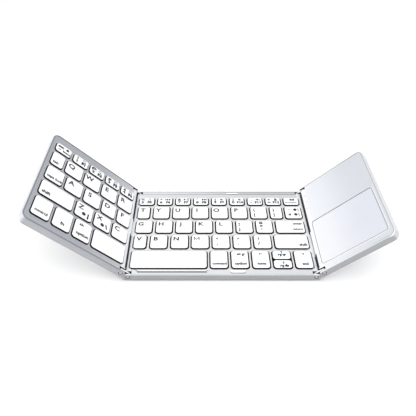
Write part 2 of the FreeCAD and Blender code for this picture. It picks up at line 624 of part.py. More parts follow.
tp = srbox(TP_S0, TP_S1, TP_Y0, TP_Y1, ZT - 0.85, ZT - 0.08, 1.5)
tp = tp.makeFillet(0.15, [e for e in tp.Edges if abs(e.BoundBox.ZMin - (ZT - 0.08)) < 1e-6])
SHAPES["touchpad"] = swing(tp.Solids[0], 1)
SHAPES["touchpad_board"] = swing(srbox(TP_S0 + 2.6, TP_S1 - 2.6, TP_Y0 + 2.6, TP_Y1 - 2.6, ZT - 1.85, ZT - 0.85, 1.0), 1)
bat = srbox(5.0, 56.0, -39.5, 2.6, ZP + 0.05, 4.9, 1.5)
bat = bat.makeFillet(0.6, [e for e in bat.Edges if abs(e.BoundBox.ZMin - 4.9) < 1e-6])
SHAPES["battery"] = swing(bat.Solids[0], 1)
brd = srbox(4.3, 57.3, 8.0, 43.0, 2.3, 3.1, 1.0).fuse(sbox(1.0, 6.0, 19.0, 38.8, 2.3, 3.1))
brd = brd.cut(sbox(PORT_S - 4.8, PORT_S + 4.8, 40.9, 44.0, 2.0, 4.0))
chips = [sbox(20, 28, 20, 28, 3.0, 4.0), sbox(34, 39, 18, 23, 3.0, 3.9), sbox(44, 54, 12, 18, 3.0, 4.2),
         sbox(8, 14, 26, 30, 3.0, 4.0), sbox(10, 16, 14, 17, 3.0, 3.7)]
for y in LED_Y:
    chips.append(sbox(1.1, 2.2, y - 0.8, y + 0.8, 3.0, 3.8))
brd = fuse([brd] + chips)
SHAPES["main_board"] = swing(brd.Solids[0], 1)
# charging socket: oval shell with a tongue
px = sx(PORT_S)
sh = rbox(px - 4.47, px + 4.47, -1.6, 1.6, 0, 7.6, 1.58)
inn = rbox(px - 4.17, px + 4.17, -1.3, 1.3, 0.8, 9, 1.28)
sh = sh.cut(inn)
tongue = box(px - 3.35, px + 3.35, -0.35, 0.35, 0.5, 6.4)
sh = sh.fuse(tongue).removeSplitter()
sh.rotate(V(px, 0, 0), V(1, 0, 0), -90)       # mouth to the back
sh.translate(V(0, HB - 7.75, PORT_Z))
SHAPES["charging_port"] = swing(sh.Solids[0], 1)
SHAPES["indicator_lights"] = swing(group([
    srbox(LED_S0 + 0.03, LED_S1 - 0.03, y - 0.32, y + 0.32, 5.3, ZT - 0.02, 0.27) for y in LED_Y]), 1)

# ------------------------------------------------------------ write files
os.makedirs("parts", exist_ok=True)
for name, shape in SHAPES.items():
    shape.exportStep("parts/%s.step" % name)
    b = shape.BoundBox
    print("%-22s solids %2d volume %9.2f valid %s  z %.2f %.2f" % (
        name, len(shape.Solids), shape.Volume, shape.isValid(), b.ZMin, b.ZMax))
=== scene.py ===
import bpy, bmesh, json, math
from mathutils import Matrix, Vector


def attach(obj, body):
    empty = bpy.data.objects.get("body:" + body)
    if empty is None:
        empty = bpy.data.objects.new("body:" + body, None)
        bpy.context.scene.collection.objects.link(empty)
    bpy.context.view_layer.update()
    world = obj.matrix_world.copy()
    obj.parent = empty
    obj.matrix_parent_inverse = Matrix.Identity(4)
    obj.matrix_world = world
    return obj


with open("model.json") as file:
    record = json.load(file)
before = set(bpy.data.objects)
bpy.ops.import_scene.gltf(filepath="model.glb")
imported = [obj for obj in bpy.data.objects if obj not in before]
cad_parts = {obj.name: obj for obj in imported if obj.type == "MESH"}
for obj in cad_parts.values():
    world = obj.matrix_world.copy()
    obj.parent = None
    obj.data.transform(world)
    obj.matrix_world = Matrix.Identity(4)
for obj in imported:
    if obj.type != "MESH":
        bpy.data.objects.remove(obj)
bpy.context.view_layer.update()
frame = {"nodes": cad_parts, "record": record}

MM = 0.001
PIN_X, PIN_Z, LINK_L = 73.95, 4.7, 7.2
WING_X = PIN_X + LINK_L
KEY_TOP = 8.1
DECK = 7.2
HB, CORNER_R = 49.5, 5.5
REST = math.radians(45.0)
record = frame["record"]
nodes = frame["nodes"]


def rest_matrix(side):
    """From the flat-drawn frame to the rest frame of a wing, in metres."""
    c = Vector((side * PIN_X, 0, PIN_Z)) * MM
    return Matrix.Translation(c) @ Matrix.Rotation(-side * REST, 4, 'Y') @ Matrix.Translation(-c)


# ---------------------------------------------------------------- camera
cam_data = bpy.data.cameras.new("camera")
cam = bpy.data.objects.new("camera", cam_data)
bpy.context.scene.collection.objects.link(cam)
PHI = 0.7844
cam.location = Vector((-16.346, -257.24, 274.11 + 0.5)) * MM
cam.rotation_euler = (math.pi / 2 - PHI, 0, 0)
cam_data.sensor_width = 36.0
cam_data.sensor_fit = 'HORIZONTAL'
cam_data.lens = 431.107 * 36.0 / 416.0
cam_data.shift_x = (208 - 201.327) / 416.0
cam_data.shift_y = (220.593 - 208) / 416.0
cam_data.clip_start = 0.01
cam_data.clip_end = 20
bpy.context.scene.camera = cam
bpy.context.scene.view_settings.view_transform = 'Standard'


# ---------------------------------------------------------------- materials
class Mat:
    """A small helper round a node tree."""

    def __init__(self, name):
        self.m = bpy.data.materials.new(name)
        self.m.use_nodes = True
        self.t = self.m.node_tree
        self.n = self.t.nodes
        self.b = next(n for n in self.n if n.type == 'BSDF_PRINCIPLED')
        self.co = self.n.new('ShaderNodeTexCoord').outputs['Object']

    def set(self, **kw):
        names = {"metallic": "Metallic", "rough": "Roughness", "ior": "IOR", "spec": "Specular IOR Level",
                 "coat": "Coat Weight", "coat_rough": "Coat Roughness", "sheen": "Sheen Weight",
                 "trans": "Transmission Weight", "sss": "Subsurface Weight", "aniso": "Anisotropic"}
        for k, v in kw.items():
            if k == "color":
                self.b.inputs["Base Color"].default_value = (*v, 1)
            else:
                self.b.inputs[names[k]].default_value = v
        return self

    def noise(self, scale, detail=3.0, rough=0.5, stretch=None):
        nd = self.n.new('ShaderNodeTexNoise')
        nd.inputs['Scale'].default_value = scale
        nd.inputs['Detail'].default_value = detail
        nd.inputs['Roughness'].default_value = rough
        src = self.co
        if stretch:
            mp = self.n.new('ShaderNodeMapping')
            mp.inputs['Scale'].default_value = stretch
            self.t.links.new(src, mp.inputs['Vector'])
            src = mp.outputs['Vector']
        self.t.links.new(src, nd.inputs['Vector'])
        return nd.outputs['Fac']

    def ramp(self, fac, stops):
        nd = self.n.new('ShaderNodeValToRGB')
        cr = nd.color_ramp
        while len(cr.elements) < len(stops):
            cr.elements.new(0.5)
        for e, (p, c) in zip(cr.elements, stops):
            e.position = p
            e.color = (*c, 1) if not isinstance(c, float) else (c, c, c, 1)
        self.t.links.new(fac, nd.inputs['Fac'])
        return nd.outputs['Color']

    def color(self, out):
        self.t.links.new(out, self.b.inputs['Base Color'])
        return self

    def rough_from(self, fac, lo, hi):
        nd = self.n.new('ShaderNodeMapRange')
        nd.inputs['From Min'].default_value = 0.3
        nd.inputs['From Max'].default_value = 0.7
        nd.inputs['To Min'].default_value = lo
        nd.inputs['To Max'].default_value = hi
        self.t.links.new(fac, nd.inputs['Value'])
        self.t.links.new(nd.outputs['Result'], self.b.inputs['Roughness'])
        return self

    def bump(self, facs, dist=0.00002, strength=0.4):
        prev = None
        for f, s in facs:
            nd = self.n.new('ShaderNodeBump')
            nd.inputs['Strength'].default_value = strength * s
            nd.inputs['Distance'].default_value = dist
            self.t.links.new(f, nd.inputs['Height'])
            if prev is not None:
                self.t.links.new(prev, nd.inputs['Normal'])
            prev = nd.outputs['Normal']
        self.t.links.new(prev, self.b.inputs['Normal'])
        return self


def tone(c, k):
    return tuple(min(1.0, v * k) for v in c)


def face_mask(m, axis, lo, hi):
    """1 where the surface faces along +/- axis of the object's own frame."""
    tc = m.n.new('ShaderNodeTexCoord')
    dot = m.n.new('ShaderNodeVectorMath')
    dot.operation = 'DOT_PRODUCT'
    dot.inputs[1].default_value = axis
    m.t.links.new(tc.outputs['Normal'], dot.inputs[0])
    ab = m.n.new('ShaderNodeMath')
    ab.operation = 'ABSOLUTE'
    m.t.links.new(dot.outputs['Value'], ab.inputs[0])
    mr = m.n.new('ShaderNodeMapRange')
    mr.inputs['From Min'].default_value = lo
    mr.inputs['From Max'].default_value = hi
    m.t.links.new(ab.outputs[0], mr.inputs['Value'])
    return mr.outputs['Result']


def mix_color(m, fac, a, b):
    mx = m.n.new('ShaderNodeMix')
    mx.data_type = 'RGBA'
    m.t.links.new(fac, mx.inputs['Factor'])
    for sock, v in (('A', a), ('B', b)):
        if isinstance(v, tuple):
            mx.inputs[[i for i, q in enumerate(mx.inputs) if q.name == sock and q.type == 'RGBA'][0]].default_value = (*v, 1)
        else:
            m.t.links.new(v, mx.inputs[[i for i, q in enumerate(mx.inputs) if q.name == sock and q.type == 'RGBA'][0]])
    return [o for o in mx.outputs if o.type == 'RGBA'][0]


def project(m, origin, axis):
    """Distance along axis from origin (flat-drawn values turned to the object's own frame), in millimetres."""
    sub = m.n.new('ShaderNodeVectorMath')
    sub.operation = 'SUBTRACT'
    sub.inputs[1].default_value = origin
    m.t.links.new(m.co, sub.inputs[0])
    dot = m.n.new('ShaderNodeVectorMath')
    dot.operation = 'DOT_PRODUCT'
    dot.inputs[1].default_value = axis * 1000
    m.t.links.new(sub.outputs[0], dot.inputs[0])
    return dot.outputs['Value']


def axes(side):
    """Wing directions in the object's own frame: outward along the deck, and up from the deck."""
    if not side:
        return Vector((1, 0, 0)), Vector((0, 0, 1))
    return (Vector((side * math.cos(REST), 0, math.sin(REST))),
            Vector((-side * math.sin(REST), 0, math.cos(REST))))


def local_height(m, side):
    """Height above the section's deck, in millimetres; side 0 centre, -1 left, 1 right."""
    up = axes(side)[1]
    ref = Vector((side * PIN_X, 0, PIN_Z)) * MM + up * (DECK - PIN_Z) * MM if side else Vector((0, 0, DECK * MM))
    return project(m, ref, up), tuple(up)


def along(m, side):
    """Distance outward from the wing's pin line; for the centre section, x."""
    if not side:
        return project(m, Vector((0, 0, 0)), Vector((1, 0, 0)))
    out = axes(side)[0]
    return project(m, Vector((side * PIN_X, 0, PIN_Z)) * MM + out * LINK_L * MM, out)


def op(m, kind, *args):
    """One Math node on sockets or numbers."""
    nd = m.n.new('ShaderNodeMath')
    nd.operation = kind
    for i, v in enumerate(args):
        if isinstance(v, (int, float)):
            nd.inputs[i].default_value = v
        else:
            m.t.links.new(v, nd.inputs[i])
    return nd.outputs[0]


def ramp_range(m, sock, a, b, lo=0.0, hi=1.0):
    mr = m.n.new('ShaderNodeMapRange')
    mr.interpolation_type = 'SMOOTHSTEP'
    mr.inputs['From Min'].default_value = a
    mr.inputs['From Max'].default_value = b
    mr.inputs['To Min'].default_value = lo
    mr.inputs['To Max'].default_value = hi
    m.t.links.new(sock, mr.inputs['Value'])
    return mr.outputs['Result']


def mul(m, a, b):
    return op(m, 'MULTIPLY', a, b)


def outline_distance(m, side, out):
    """How far a point lies inside the section's outline (negative inside), in millimetres."""
    sep = m.n.new('ShaderNodeSeparateXYZ')
    m.t.links.new(m.co, sep.inputs[0])
    y = op(m, 'MULTIPLY', op(m, 'ABSOLUTE', sep.outputs[1]), 1000.0)
    if not side:
        return op(m, 'SUBTRACT', y, HB), y
    qs = op(m, 'MAXIMUM', op(m, 'SUBTRACT', along(m, side), out - CORNER_R), 0.0)
    qy = op(m, 'MAXIMUM', op(m, 'SUBTRACT', y, HB - CORNER_R), 0.0)
    d = op(m, 'SQRT', op(m, 'ADD', mul(m, qs, qs), mul(m, qy, qy)))
    return op(m, 'SUBTRACT', d, CORNER_R), y


def silver(name, base, rough=0.36, side=0, out=0.0, painted_side_shade=0.56, line=0.62, edge_line=True, opening_shade=(0.012, 0.0125, 0.015),
           painted_reflection_ramp=None, painted_light_strip=(0.70, 0.715, 0.75), painted_rim_highlight=0.0, scoop=None, frame_line=None,
           painted_halo=None, cables=()):
    """Anodised sheet: satin grain, painted shade on the cut faces turned to front or back, a thin darker line along its
    outer edge as painted shade, a painted light strip with a non-metallic finish next to the hinge, and painted shade
    on the walls inside the key openings and link slots."""
    m = Mat(name)
    grain = m.noise(9000, 2, 0.6)
    cloud = m.noise(35, 3, 0.55)
    # painted reflection: the colour runs from the near tone at the pin line to the far tone 48 mm outward
    near, far = (painted_reflection_ramp if painted_reflection_ramp else (base, base))
    s = along(m, side)
    col = mix_color(m, ramp_range(m, s, 0.0, 48.0), near, far) if painted_reflection_ramp else base
    shade = m.ramp(cloud, [(0.3, (0.975, 0.975, 0.975)), (0.7, (1.0, 1.0, 1.0))])
    # painted shade on the cut faces turned to front or back
    cut = m.ramp(cloud, [(0.3, tone(base, 0.97 * painted_side_shade)), (0.7, tone(base, 1.03 * painted_side_shade))])
    res = mix_color(m, face_mask(m, (0, 1, 0), 0.75, 0.97), col, cut)
    height, up = local_height(m, side)
    tilt = face_mask(m, up, 0.0, 1.0)
    d, y = outline_distance(m, side, out)
    above = ramp_range(m, tilt, 0.5, 0.62)
    # painted light strip beside the hinge, also given a non-metallic finish
    edge = op(m, 'ABSOLUTE', s) if not side else s
    matt_and_painted_light = mul(m, ramp_range(m, edge, 70.8, 73.2) if not side else ramp_range(m, s, 3.2, 1.2), above)
    matt_and_painted_light = mul(m, matt_and_painted_light, ramp_range(m, height, -1.9, -1.6))
    # broken edges of the openings, with a painted highlight on their chamfers
    rim = mul(m, ramp_range(m, y, 44.45, 44.3), mul(m, ramp_range(m, tilt, 0.60, 0.66), ramp_range(m, tilt, 0.82, 0.76)))
    rim = mul(m, rim, mul(m, ramp_range(m, height, -0.32, -0.27), ramp_range(m, height, 0.05, -0.01)))
    across = face_mask(m, (0, 1, 0), 0.5, 0.2)
    if not side:
        painted_chamfer_shade = mul(m, rim, across)
        rim = mul(m, rim, op(m, 'SUBTRACT', 1.0, across))
    matt_and_painted_light = op(m, 'MAXIMUM', matt_and_painted_light, op(m, 'MULTIPLY', rim, painted_rim_highlight))
    flat = m.n.new('ShaderNodeSeparateXYZ')
    m.t.links.new(m.co, flat.inputs[0])
    # painted light over the seam where a cable crosses it
    for sgn, c0, c1 in cables:
        off = op(m, 'MULTIPLY', s, float(sgn)) if not side else op(m, 'MULTIPLY', s, -1.0)
        near_seam = ramp_range(m, off, PIN_X + 0.6, PIN_X + 0.9) if not side else ramp_range(m, off, 0.6, 0.9)
        y_mm = op(m, 'MULTIPLY', flat.outputs[1], 1000.0)
        within = mul(m, ramp_range(m, y_mm, c0 - 0.1, c0 + 0.1), ramp_range(m, y_mm, c1 + 0.1, c1 - 0.1))
        matt_and_painted_light = op(m, 'MAXIMUM', matt_and_painted_light, mul(m, near_seam, within))
    res = mix_color(m, matt_and_painted_light, res, painted_light_strip)
    # painted shade on the side chamfers of the centre openings
    if not side:
        res = mix_color(m, op(m, 'MULTIPLY', painted_chamfer_shade, 0.85), res, (0.10, 0.105, 0.115))
    m.t.links.new(ramp_range(m, matt_and_painted_light, 0.0, 1.0, 0.88, 0.1), m.b.inputs['Metallic'])
    # painted shade in a thin darker line along the outer edge, stronger along the rear
    if edge_line:
        mask = mul(m, ramp_range(m, d, -1.25, -0.9), ramp_range(m, tilt, 0.12, 0.3))
        rear = mul(m, ramp_range(m, y, HB - 1.5, HB - 1.2), ramp_range(m, flat.outputs[1], -0.001, 0.001))
        if side > 0:
            thin = mul(m, ramp_range(m, d, -1.50, -1.30), ramp_range(m, d, -0.65, -0.80))
            thin = mul(m, thin, ramp_range(m, s, 34.0, 55.0, 0.15, 1.0))
            # painted highlight on the outer side of the right wing
            painted_shine = mul(m, mul(m, ramp_range(m, d, -0.80, -0.65), ramp_range(m, height, -1.2, -0.8)), op(m, 'SUBTRACT', 1.0, rear))
            painted_shine = mul(m, painted_shine, ramp_range(m, s, out - 7.0, out - 2.5, 0.0, 1.0))
            res = mix_color(m, painted_shine, res, (0.97, 0.975, 0.98))
            mask = op(m, 'MAXIMUM', mul(m, thin, ramp_range(m, tilt, 0.5, 0.6)), mul(m, mask, rear))
        mask = mul(m, mask, ramp_range(m, height, -1.2, -0.8))
        if not side:
            sep = m.n.new('ShaderNodeSeparateXYZ')
            m.t.links.new(m.co, sep.inputs[0])
            mask = mul(m, mask, ramp_range(m, sep.outputs[1], -0.001, 0.001))
        res = mix_color(m, mask, res, tone(base, line))
        if side:
            res = mix_color(m, mul(m, mask, rear), res, tone(base, line * (0.62 if side > 0 else 0.42)))
        if side < 0:
            # broader shaded border along the rear edge of the left wing
            border = mul(m, ramp_range(m, d, -1.95, -1.6), ramp_range(m, flat.outputs[1], 0.0465, 0.0472))
            border = mul(m, border, mul(m, ramp_range(m, tilt, 0.12, 0.3), ramp_range(m, height, -1.2, -0.8)))
            res = mix_color(m, border, res, tone(base, line * 0.75))
    # painted shade on the walls inside the key openings
    inside = ramp_range(m, y, 44.45, 44.3)
    deep = ramp_range(m, height, -0.10, -0.26)
    dark = mul(m, mul(m, inside, deep), ramp_range(m, tilt, 0.5, 0.3))
    if side:
        dark = mul(m, dark, ramp_range(m, s, out - 2.7, out - 3.1))
        dark = mul(m, dark, ramp_range(m, s, -1.5, -1.2))
    res = mix_color(m, dark, res, opening_shade)
    # painted black shade in the slots that hold the link plates
    slot = mul(m, ramp_range(m, y, 45.58, 45.66), ramp_range(m, y, 48.50, 48.42))
    from_pin = op(m, 'ABSOLUTE', op(m, 'SUBTRACT', edge, PIN_X)) if not side else op(m, 'ABSOLUTE', s)
    sunk = ramp_range(m, height, -6.6, -6.4)
    painted_black_shade = mul(m, mul(m, slot, ramp_range(m, from_pin, 3.0, 2.92)), sunk)
    # painted black shade on the rounded ends of the hinge knuckles, turned to the seam
    inward = face_mask(m, tuple(axes(side)[0]), 0.56, 0.64)
    past = ramp_range(m, edge, PIN_X + 0.6, PIN_X + 0.9) if not side else ramp_range(m, s, -0.6, -0.9)
    ends = mul(m, mul(m, inward, past), mul(m, ramp_range(m, y, 44.5, 44.7), ramp_range(m, y, HB - 0.05, HB - 0.12)))
    painted_black_shade = op(m, 'MAXIMUM', painted_black_shade, mul(m, ends, ramp_range(m, height, -6.6, -6.4)))
    if not side:
        # painted black shade on the corner of each knuckle next to its link plate
        over = op(m, 'SUBTRACT', edge, PIN_X + 0.7)
        corner = op(m, 'SUBTRACT', over, mul(m, op(m, 'SUBTRACT', y, 46.8), 0.75))
        front_side = mul(m, ramp_range(m, y, 46.7, 46.8), ramp_range(m, flat.outputs[1], 0.001, -0.001))
        rear_side = mul(m, mul(m, ramp_range(m, y, 44.6, 44.7), ramp_range(m, y, 45.9, 45.8)),
                        mul(m, ramp_range(m, flat.outputs[1], -0.001, 0.001), ramp_range(m, over, 0.6, 0.8)))
        painted_corner_shade = op(m, 'MAXIMUM', mul(m, front_side, mul(m, ramp_range(m, corner, -0.05, 0.1), ramp_range(m, over, 0.0, 0.05))), rear_side)
        painted_black_shade = op(m, 'MAXIMUM', painted_black_shade, mul(m, painted_corner_shade, ramp_range(m, height, -1.6, -1.2)))
    res = mix_color(m, painted_black_shade, res, (0.008, 0.008, 0.01))
    # painted shade in the dark filler's colour a little over the deck's edge at the seam, except where a cable crosses
    for sgn, c0, c1 in cables:
        off = op(m, 'MULTIPLY', s, float(sgn)) if not side else op(m, 'MULTIPLY', s, -1.0)
        away = ramp_range(m, off, PIN_X + 1.35, PIN_X + 1.5) if not side else ramp_range(m, off, 1.35, 1.5)
        y_mm = op(m, 'MULTIPLY', flat.outputs[1], 1000.0)
        free = op(m, 'MAXIMUM', ramp_range(m, y_mm, c0 + 0.1, c0 - 0.1), ramp_range(m, y_mm, c1 - 0.1, c1 + 0.1))
        seam_shade = mul(m, mul(m, away, free), ramp_range(m, y, 44.7, 44.6))
        res = mix_color(m, seam_shade, res, (0.042, 0.046, 0.062))
    if scoop:
        # painted shade on the front slope of the thumb scoop
        tc = m.n.new('ShaderNodeTexCoord')
        nrm = m.n.new('ShaderNodeSeparateXYZ')
        m.t.links.new(tc.outputs['Normal'], nrm.inputs[0])
        pos = m.n.new('ShaderNodeSeparateXYZ')
        m.t.links.new(m.co, pos.inputs[0])
        slope = mul(m, ramp_range(m, nrm.outputs[2], 0.992, 0.985), ramp_range(m, nrm.outputs[1], -0.16, -0.10))
        band = mul(m, ramp_range(m, pos.outputs[1], -0.0437, -0.0439), ramp_range(m, pos.outputs[1], -0.0467, -0.0465))
        band = mul(m, band, mul(m, ramp_range(m, edge, 70.4, 70.0), ramp_range(m, tilt, 0.5, 0.6)))
        res = mix_color(m, mul(m, slope, band), res, scoop[0])
        # and on its two slanting ends
        slant = mul(m, ramp_range(m, op(m, 'ABSOLUTE', nrm.outputs[0]), 0.08, 0.14), ramp_range(m, nrm.outputs[2], 0.992, 0.985))
        slant = mul(m, slant, mul(m, ramp_range(m, pos.outputs[1], -0.04385, -0.0441), ramp_range(m, pos.outputs[1], -0.0467, -0.0465)))
        slant = mul(m, slant, mul(m, ramp_range(m, edge, 70.2, 69.8), ramp_range(m, tilt, 0.5, 0.6)))
        res = mix_color(m, slant, res, tone(scoop[0], 0.9))
        # a darker painted shadow line along the front of the scoop
        ahead = mul(m, ramp_range(m, pos.outputs[1], -0.0462, -0.0463), ramp_range(m, pos.outputs[1], -0.0473, -0.0471))
        res = mix_color(m, mul(m, ahead, mul(m, ramp_range(m, pos.outputs[0], -0.0668, -0.0664), ramp_range(m, pos.outputs[0], -0.0117, -0.0121))),
                        res, scoop[1])
        # painted highlight on the rear part of the scoop
        shelf = mul(m, mul(m, ramp_range(m, pos.outputs[1], -0.0441, -0.0443), ramp_range(m, pos.outputs[1], -0.0453, -0.0451)),
                    mul(m, ramp_range(m, pos.outputs[0], -0.0655, -0.0651), ramp_range(m, pos.outputs[0], -0.0126, -0.0130)))
        res = mix_color(m, mul(m, shelf, above), res, (0.99, 0.995, 1.0))
        # painted highlight on the narrow webs between the keys of a row
        y_mm = op(m, 'MULTIPLY', pos.outputs[1], 1000.0)
        webs = None
        for y0, y1 in ((30.3, 39.5), (12.9, 27.3), (-4.5, 9.8), (-22.05, -7.65), (-42.8, -25.15)):
            one = mul(m, ramp_range(m, y_mm, y0 + 0.6, y0 + 1.6), ramp_range(m, y_mm, y1 - 0.6, y1 - 1.6))
            webs = op(m, 'MAXIMUM', webs, one) if webs else one
        webs = mul(m, mul(m, webs, ramp_range(m, edge, 71.5, 70.5)), ramp_range(m, tilt, 0.90, 0.97))
        res = mix_color(m, webs, res, (0.985, 0.99, 1.0))
        # painted shade on the rolled front edge, a little lighter to the right
        lip_tone = mix_color(m, ramp_range(m, pos.outputs[0], -0.050, 0.020), tone(base, 0.80), tone(base, 0.88))
        res = mix_color(m, mul(m, ramp_range(m, pos.outputs[1], -0.0477, -0.0486), above), res, lip_tone)
        # painted shade on the rear rim, a little darker to the right and behind the bumper
        rim_tone = mix_color(m, ramp_range(m, pos.outputs[0], -0.060, 0.030), tone(base, 1.0), tone(base, 0.84))
        behind = mul(m, ramp_range(m, pos.outputs[1], 0.0443, 0.0447), ramp_range(m, pos.outputs[0], -0.060, 0.030))
        behind = mul(m, behind, op(m, 'SUBTRACT', 1.0, mask))
        res = mix_color(m, mul(m, behind, above), res, rim_tone)
        # the painted shade along the outer edge, darker to the right
        res = mix_color(m, mask, res, mix_color(m, ramp_range(m, pos.outputs[0], -0.060, 0.030), tone(base, line), tone(base, line * 0.5)))
        # shadow lines round the seats of the two bumpers
        rx = mul(m, ramp_range(m, pos.outputs[0], 0.0064, 0.0068), ramp_range(m, pos.outputs[0], 0.0184, 0.0180))
        res = mix_color(m, mul(m, mul(m, rx, ramp_range(m, pos.outputs[1], 0.0473, 0.0475)), above), res, tone(base, 0.55))
        front = project(m, Vector((0, -0.0472, 0)), Vector((0, -1, 0)))
        left = project(m, Vector((0.0059, -0.0446, 0)), Vector((-0.793, -0.610, 0)))
        right = project(m, Vector((0.0189, -0.0446, 0)), Vector((0.852, -0.524, 0)))
        ring = op(m, 'MAXIMUM', front, op(m, 'MAXIMUM', left, right))
        ring = mul(m, mul(m, ramp_range(m, ring, -0.05, 0.05), ramp_range(m, ring, 0.95, 0.75)), ramp_range(m, pos.outputs[1], -0.0458, -0.0461))
        res = mix_color(m, mul(m, ring, above), res, tone(base, 0.60))
    # painted shade in the counterbores round the pin heads, dark below the pin and lighter above
    rise = op(m, 'ADD', height, DECK - PIN_Z)
    radius = op(m, 'SQRT', op(m, 'ADD', mul(m, from_pin, from_pin), mul(m, rise, rise)))
    painted_bore_shade = mul(m, ramp_range(m, radius, 1.85, 1.7), ramp_range(m, y, HB - 0.6, HB - 0.5))
    res = mix_color(m, painted_bore_shade, res, mix_color(m, ramp_range(m, rise, -0.2, 0.6), (0.02, 0.02, 0.024), (0.20, 0.20, 0.21)))
    if frame_line:
        # painted shade in a thin line round the touch surface, stronger along its rear edge; where a highlight colour
        # is given, a painted highlight just outside it along its outer and front sides instead
        pos = m.n.new('ShaderNodeSeparateXYZ')
        m.t.links.new(m.co, pos.inputs[0])
        y_mm = op(m, 'MULTIPLY', pos.outputs[1], 1000.0)
        s0, s1, y0, y1, r = frame_line
        qs = op(m, 'SUBTRACT', op(m, 'ABSOLUTE', op(m, 'SUBTRACT', s, (s0 + s1) / 2)), (s1 - s0) / 2 - r)
        qy = op(m, 'SUBTRACT', op(m, 'ABSOLUTE', op(m, 'SUBTRACT', y_mm, (y0 + y1) / 2)), (y1 - y0) / 2 - r)
        ps, py = op(m, 'MAXIMUM', qs, 0.0), op(m, 'MAXIMUM', qy, 0.0)
        dd = op(m, 'SUBTRACT', op(m, 'SQRT', op(m, 'ADD', mul(m, ps, ps), mul(m, py, py))), r)
        if painted_halo:
            res = mix_color(m, mul(m, mul(m, ramp_range(m, dd, 0.40, 0.50), ramp_range(m, dd, 1.5, 1.1)),
                                   op(m, 'MAXIMUM', ramp_range(m, s, s1 - 3.0, s1), ramp_range(m, y_mm, y0 + 3.0, y0))), res, painted_halo)
        else:
            res = mix_color(m, mul(m, ramp_range(m, dd, -0.40, -0.12), ramp_range(m, y_mm, y1 - 0.8, y1 - 0.4, 0.45, 1.0)), res,
                            tone(base, 0.45))
    tint = m.n.new('ShaderNodeMix')
    tint.data_type = 'RGBA'
    tint.blend_type = 'MULTIPLY'
    tint.inputs['Factor'].default_value = 1.0
    cols = [i for i, q in enumerate(tint.inputs) if q.type == 'RGBA']
    m.t.links.new(res, tint.inputs[cols[0]])
    m.t.links.new(shade, tint.inputs[cols[1]])
    m.color([o for o in tint.outputs if o.type == 'RGBA'][0])
    m.rough_from(grain, rough - 0.05, rough + 0.07)
    m.bump([(grain, 1.0), (m.noise(2600, 2, 0.5), 0.6)], 0.000012, 0.35)
    return m.m


def seam_cover(name, base, side, gap_shade):
    """Light stretch of the seam filler with thin lengthwise stripes of painted shade."""
    m = Mat(name)
    m.set(metallic=0.1, rough=0.36)
    s = along(m, side)
    cloud = m.noise(300, 2, 0.5)
    light = m.ramp(cloud, [(0.3, tone(base, 0.97)), (0.7, base)])
    near = mul(m, ramp_range(m, s, -1.75, -1.9), ramp_range(m, s, -2.35, -2.2))
    res = mix_color(m, near, light, tone(base, gap_shade))
    m.color(mix_color(m, ramp_range(m, s, -2.95, -3.15), res, tone(base, gap_shade)))
    grain = m.noise(6000, 2, 0.5)
    m.rough_from(grain, 0.31, 0.42)
    m.bump([(grain, 1.0)], 0.000012, 0.3)
    return m.m


def moulded(name, base, rough=0.45, grain=4200, strength=0.3, painted_side_shade=1.0, painted_foot_shade=0.0, side=0, outer=None, shade_bands=()):
    """Moulded plastic or rubber; painted_side_shade darkens faces turned to front or back and painted_foot_shade their
    lowest edge, both as painted shade;
    outer is a painted lighter or darker tone for the light on the face turned away from the hinge; shade_bands are
    strips of painted shade along the front or rear."""
    m = Mat(name)
    m.set(metallic=0.0, rough=rough, spec=0.45)
    g = m.noise(grain, 3, 0.55)
    cloud = m.noise(60, 2, 0.5)
    col = m.ramp(cloud, [(0.3, tone(base, 0.97)), (0.7, tone(base, 1.02))])
    if painted_side_shade != 1.0:
        col = mix_color(m, face_mask(m, (0, 1, 0), 0.75, 0.97), col, tone(base, painted_side_shade))
    for y0, y1, k in shade_bands:
        sep = m.n.new('ShaderNodeSeparateXYZ')
        m.t.links.new(m.co, sep.inputs[0])
        col = mix_color(m, ramp_range(m, op(m, 'MULTIPLY', sep.outputs[1], 1000.0), y0, y1), col, tone(base, k))
    if painted_foot_shade:
        sep = m.n.new('ShaderNodeSeparateXYZ')
        m.t.links.new(m.co, sep.inputs[0])
        y = op(m, 'MULTIPLY', op(m, 'ABSOLUTE', sep.outputs[1]), 1000.0)
        z = op(m, 'ADD', local_height(m, side)[0], DECK)
        col = mix_color(m, mul(m, ramp_range(m, y, HB - 0.5, HB - 0.3), ramp_range(m, z, 1.15, 0.85)), col, tone(base, painted_foot_shade))
        # painted black shade on the rounded ends of the hinge knuckles, turned to the seam
        s = along(m, side)
        edge = op(m, 'ABSOLUTE', s) if not side else s
        past = ramp_range(m, edge, PIN_X + 0.6, PIN_X + 0.9) if not side else ramp_range(m, s, -0.6, -0.9)
        ends = mul(m, mul(m, face_mask(m, tuple(axes(side)[0]), 0.5, 0.6), past), ramp_range(m, y, 44.5, 44.7))
        # painted light or shade on the face turned away from the hinge
        if outer:
            col = mix_color(m, mul(m, face_mask(m, tuple(axes(side)[0]), 0.5, 0.8), ramp_range(m, s, 50.0, 56.0)), col, outer)
        col = mix_color(m, ends, col, (0.012, 0.012, 0.014))
    m.color(col)
    m.rough_from(g, rough - 0.06, rough + 0.06)
    m.bump([(g, 1.0)], 0.000015, strength)
    return m.m


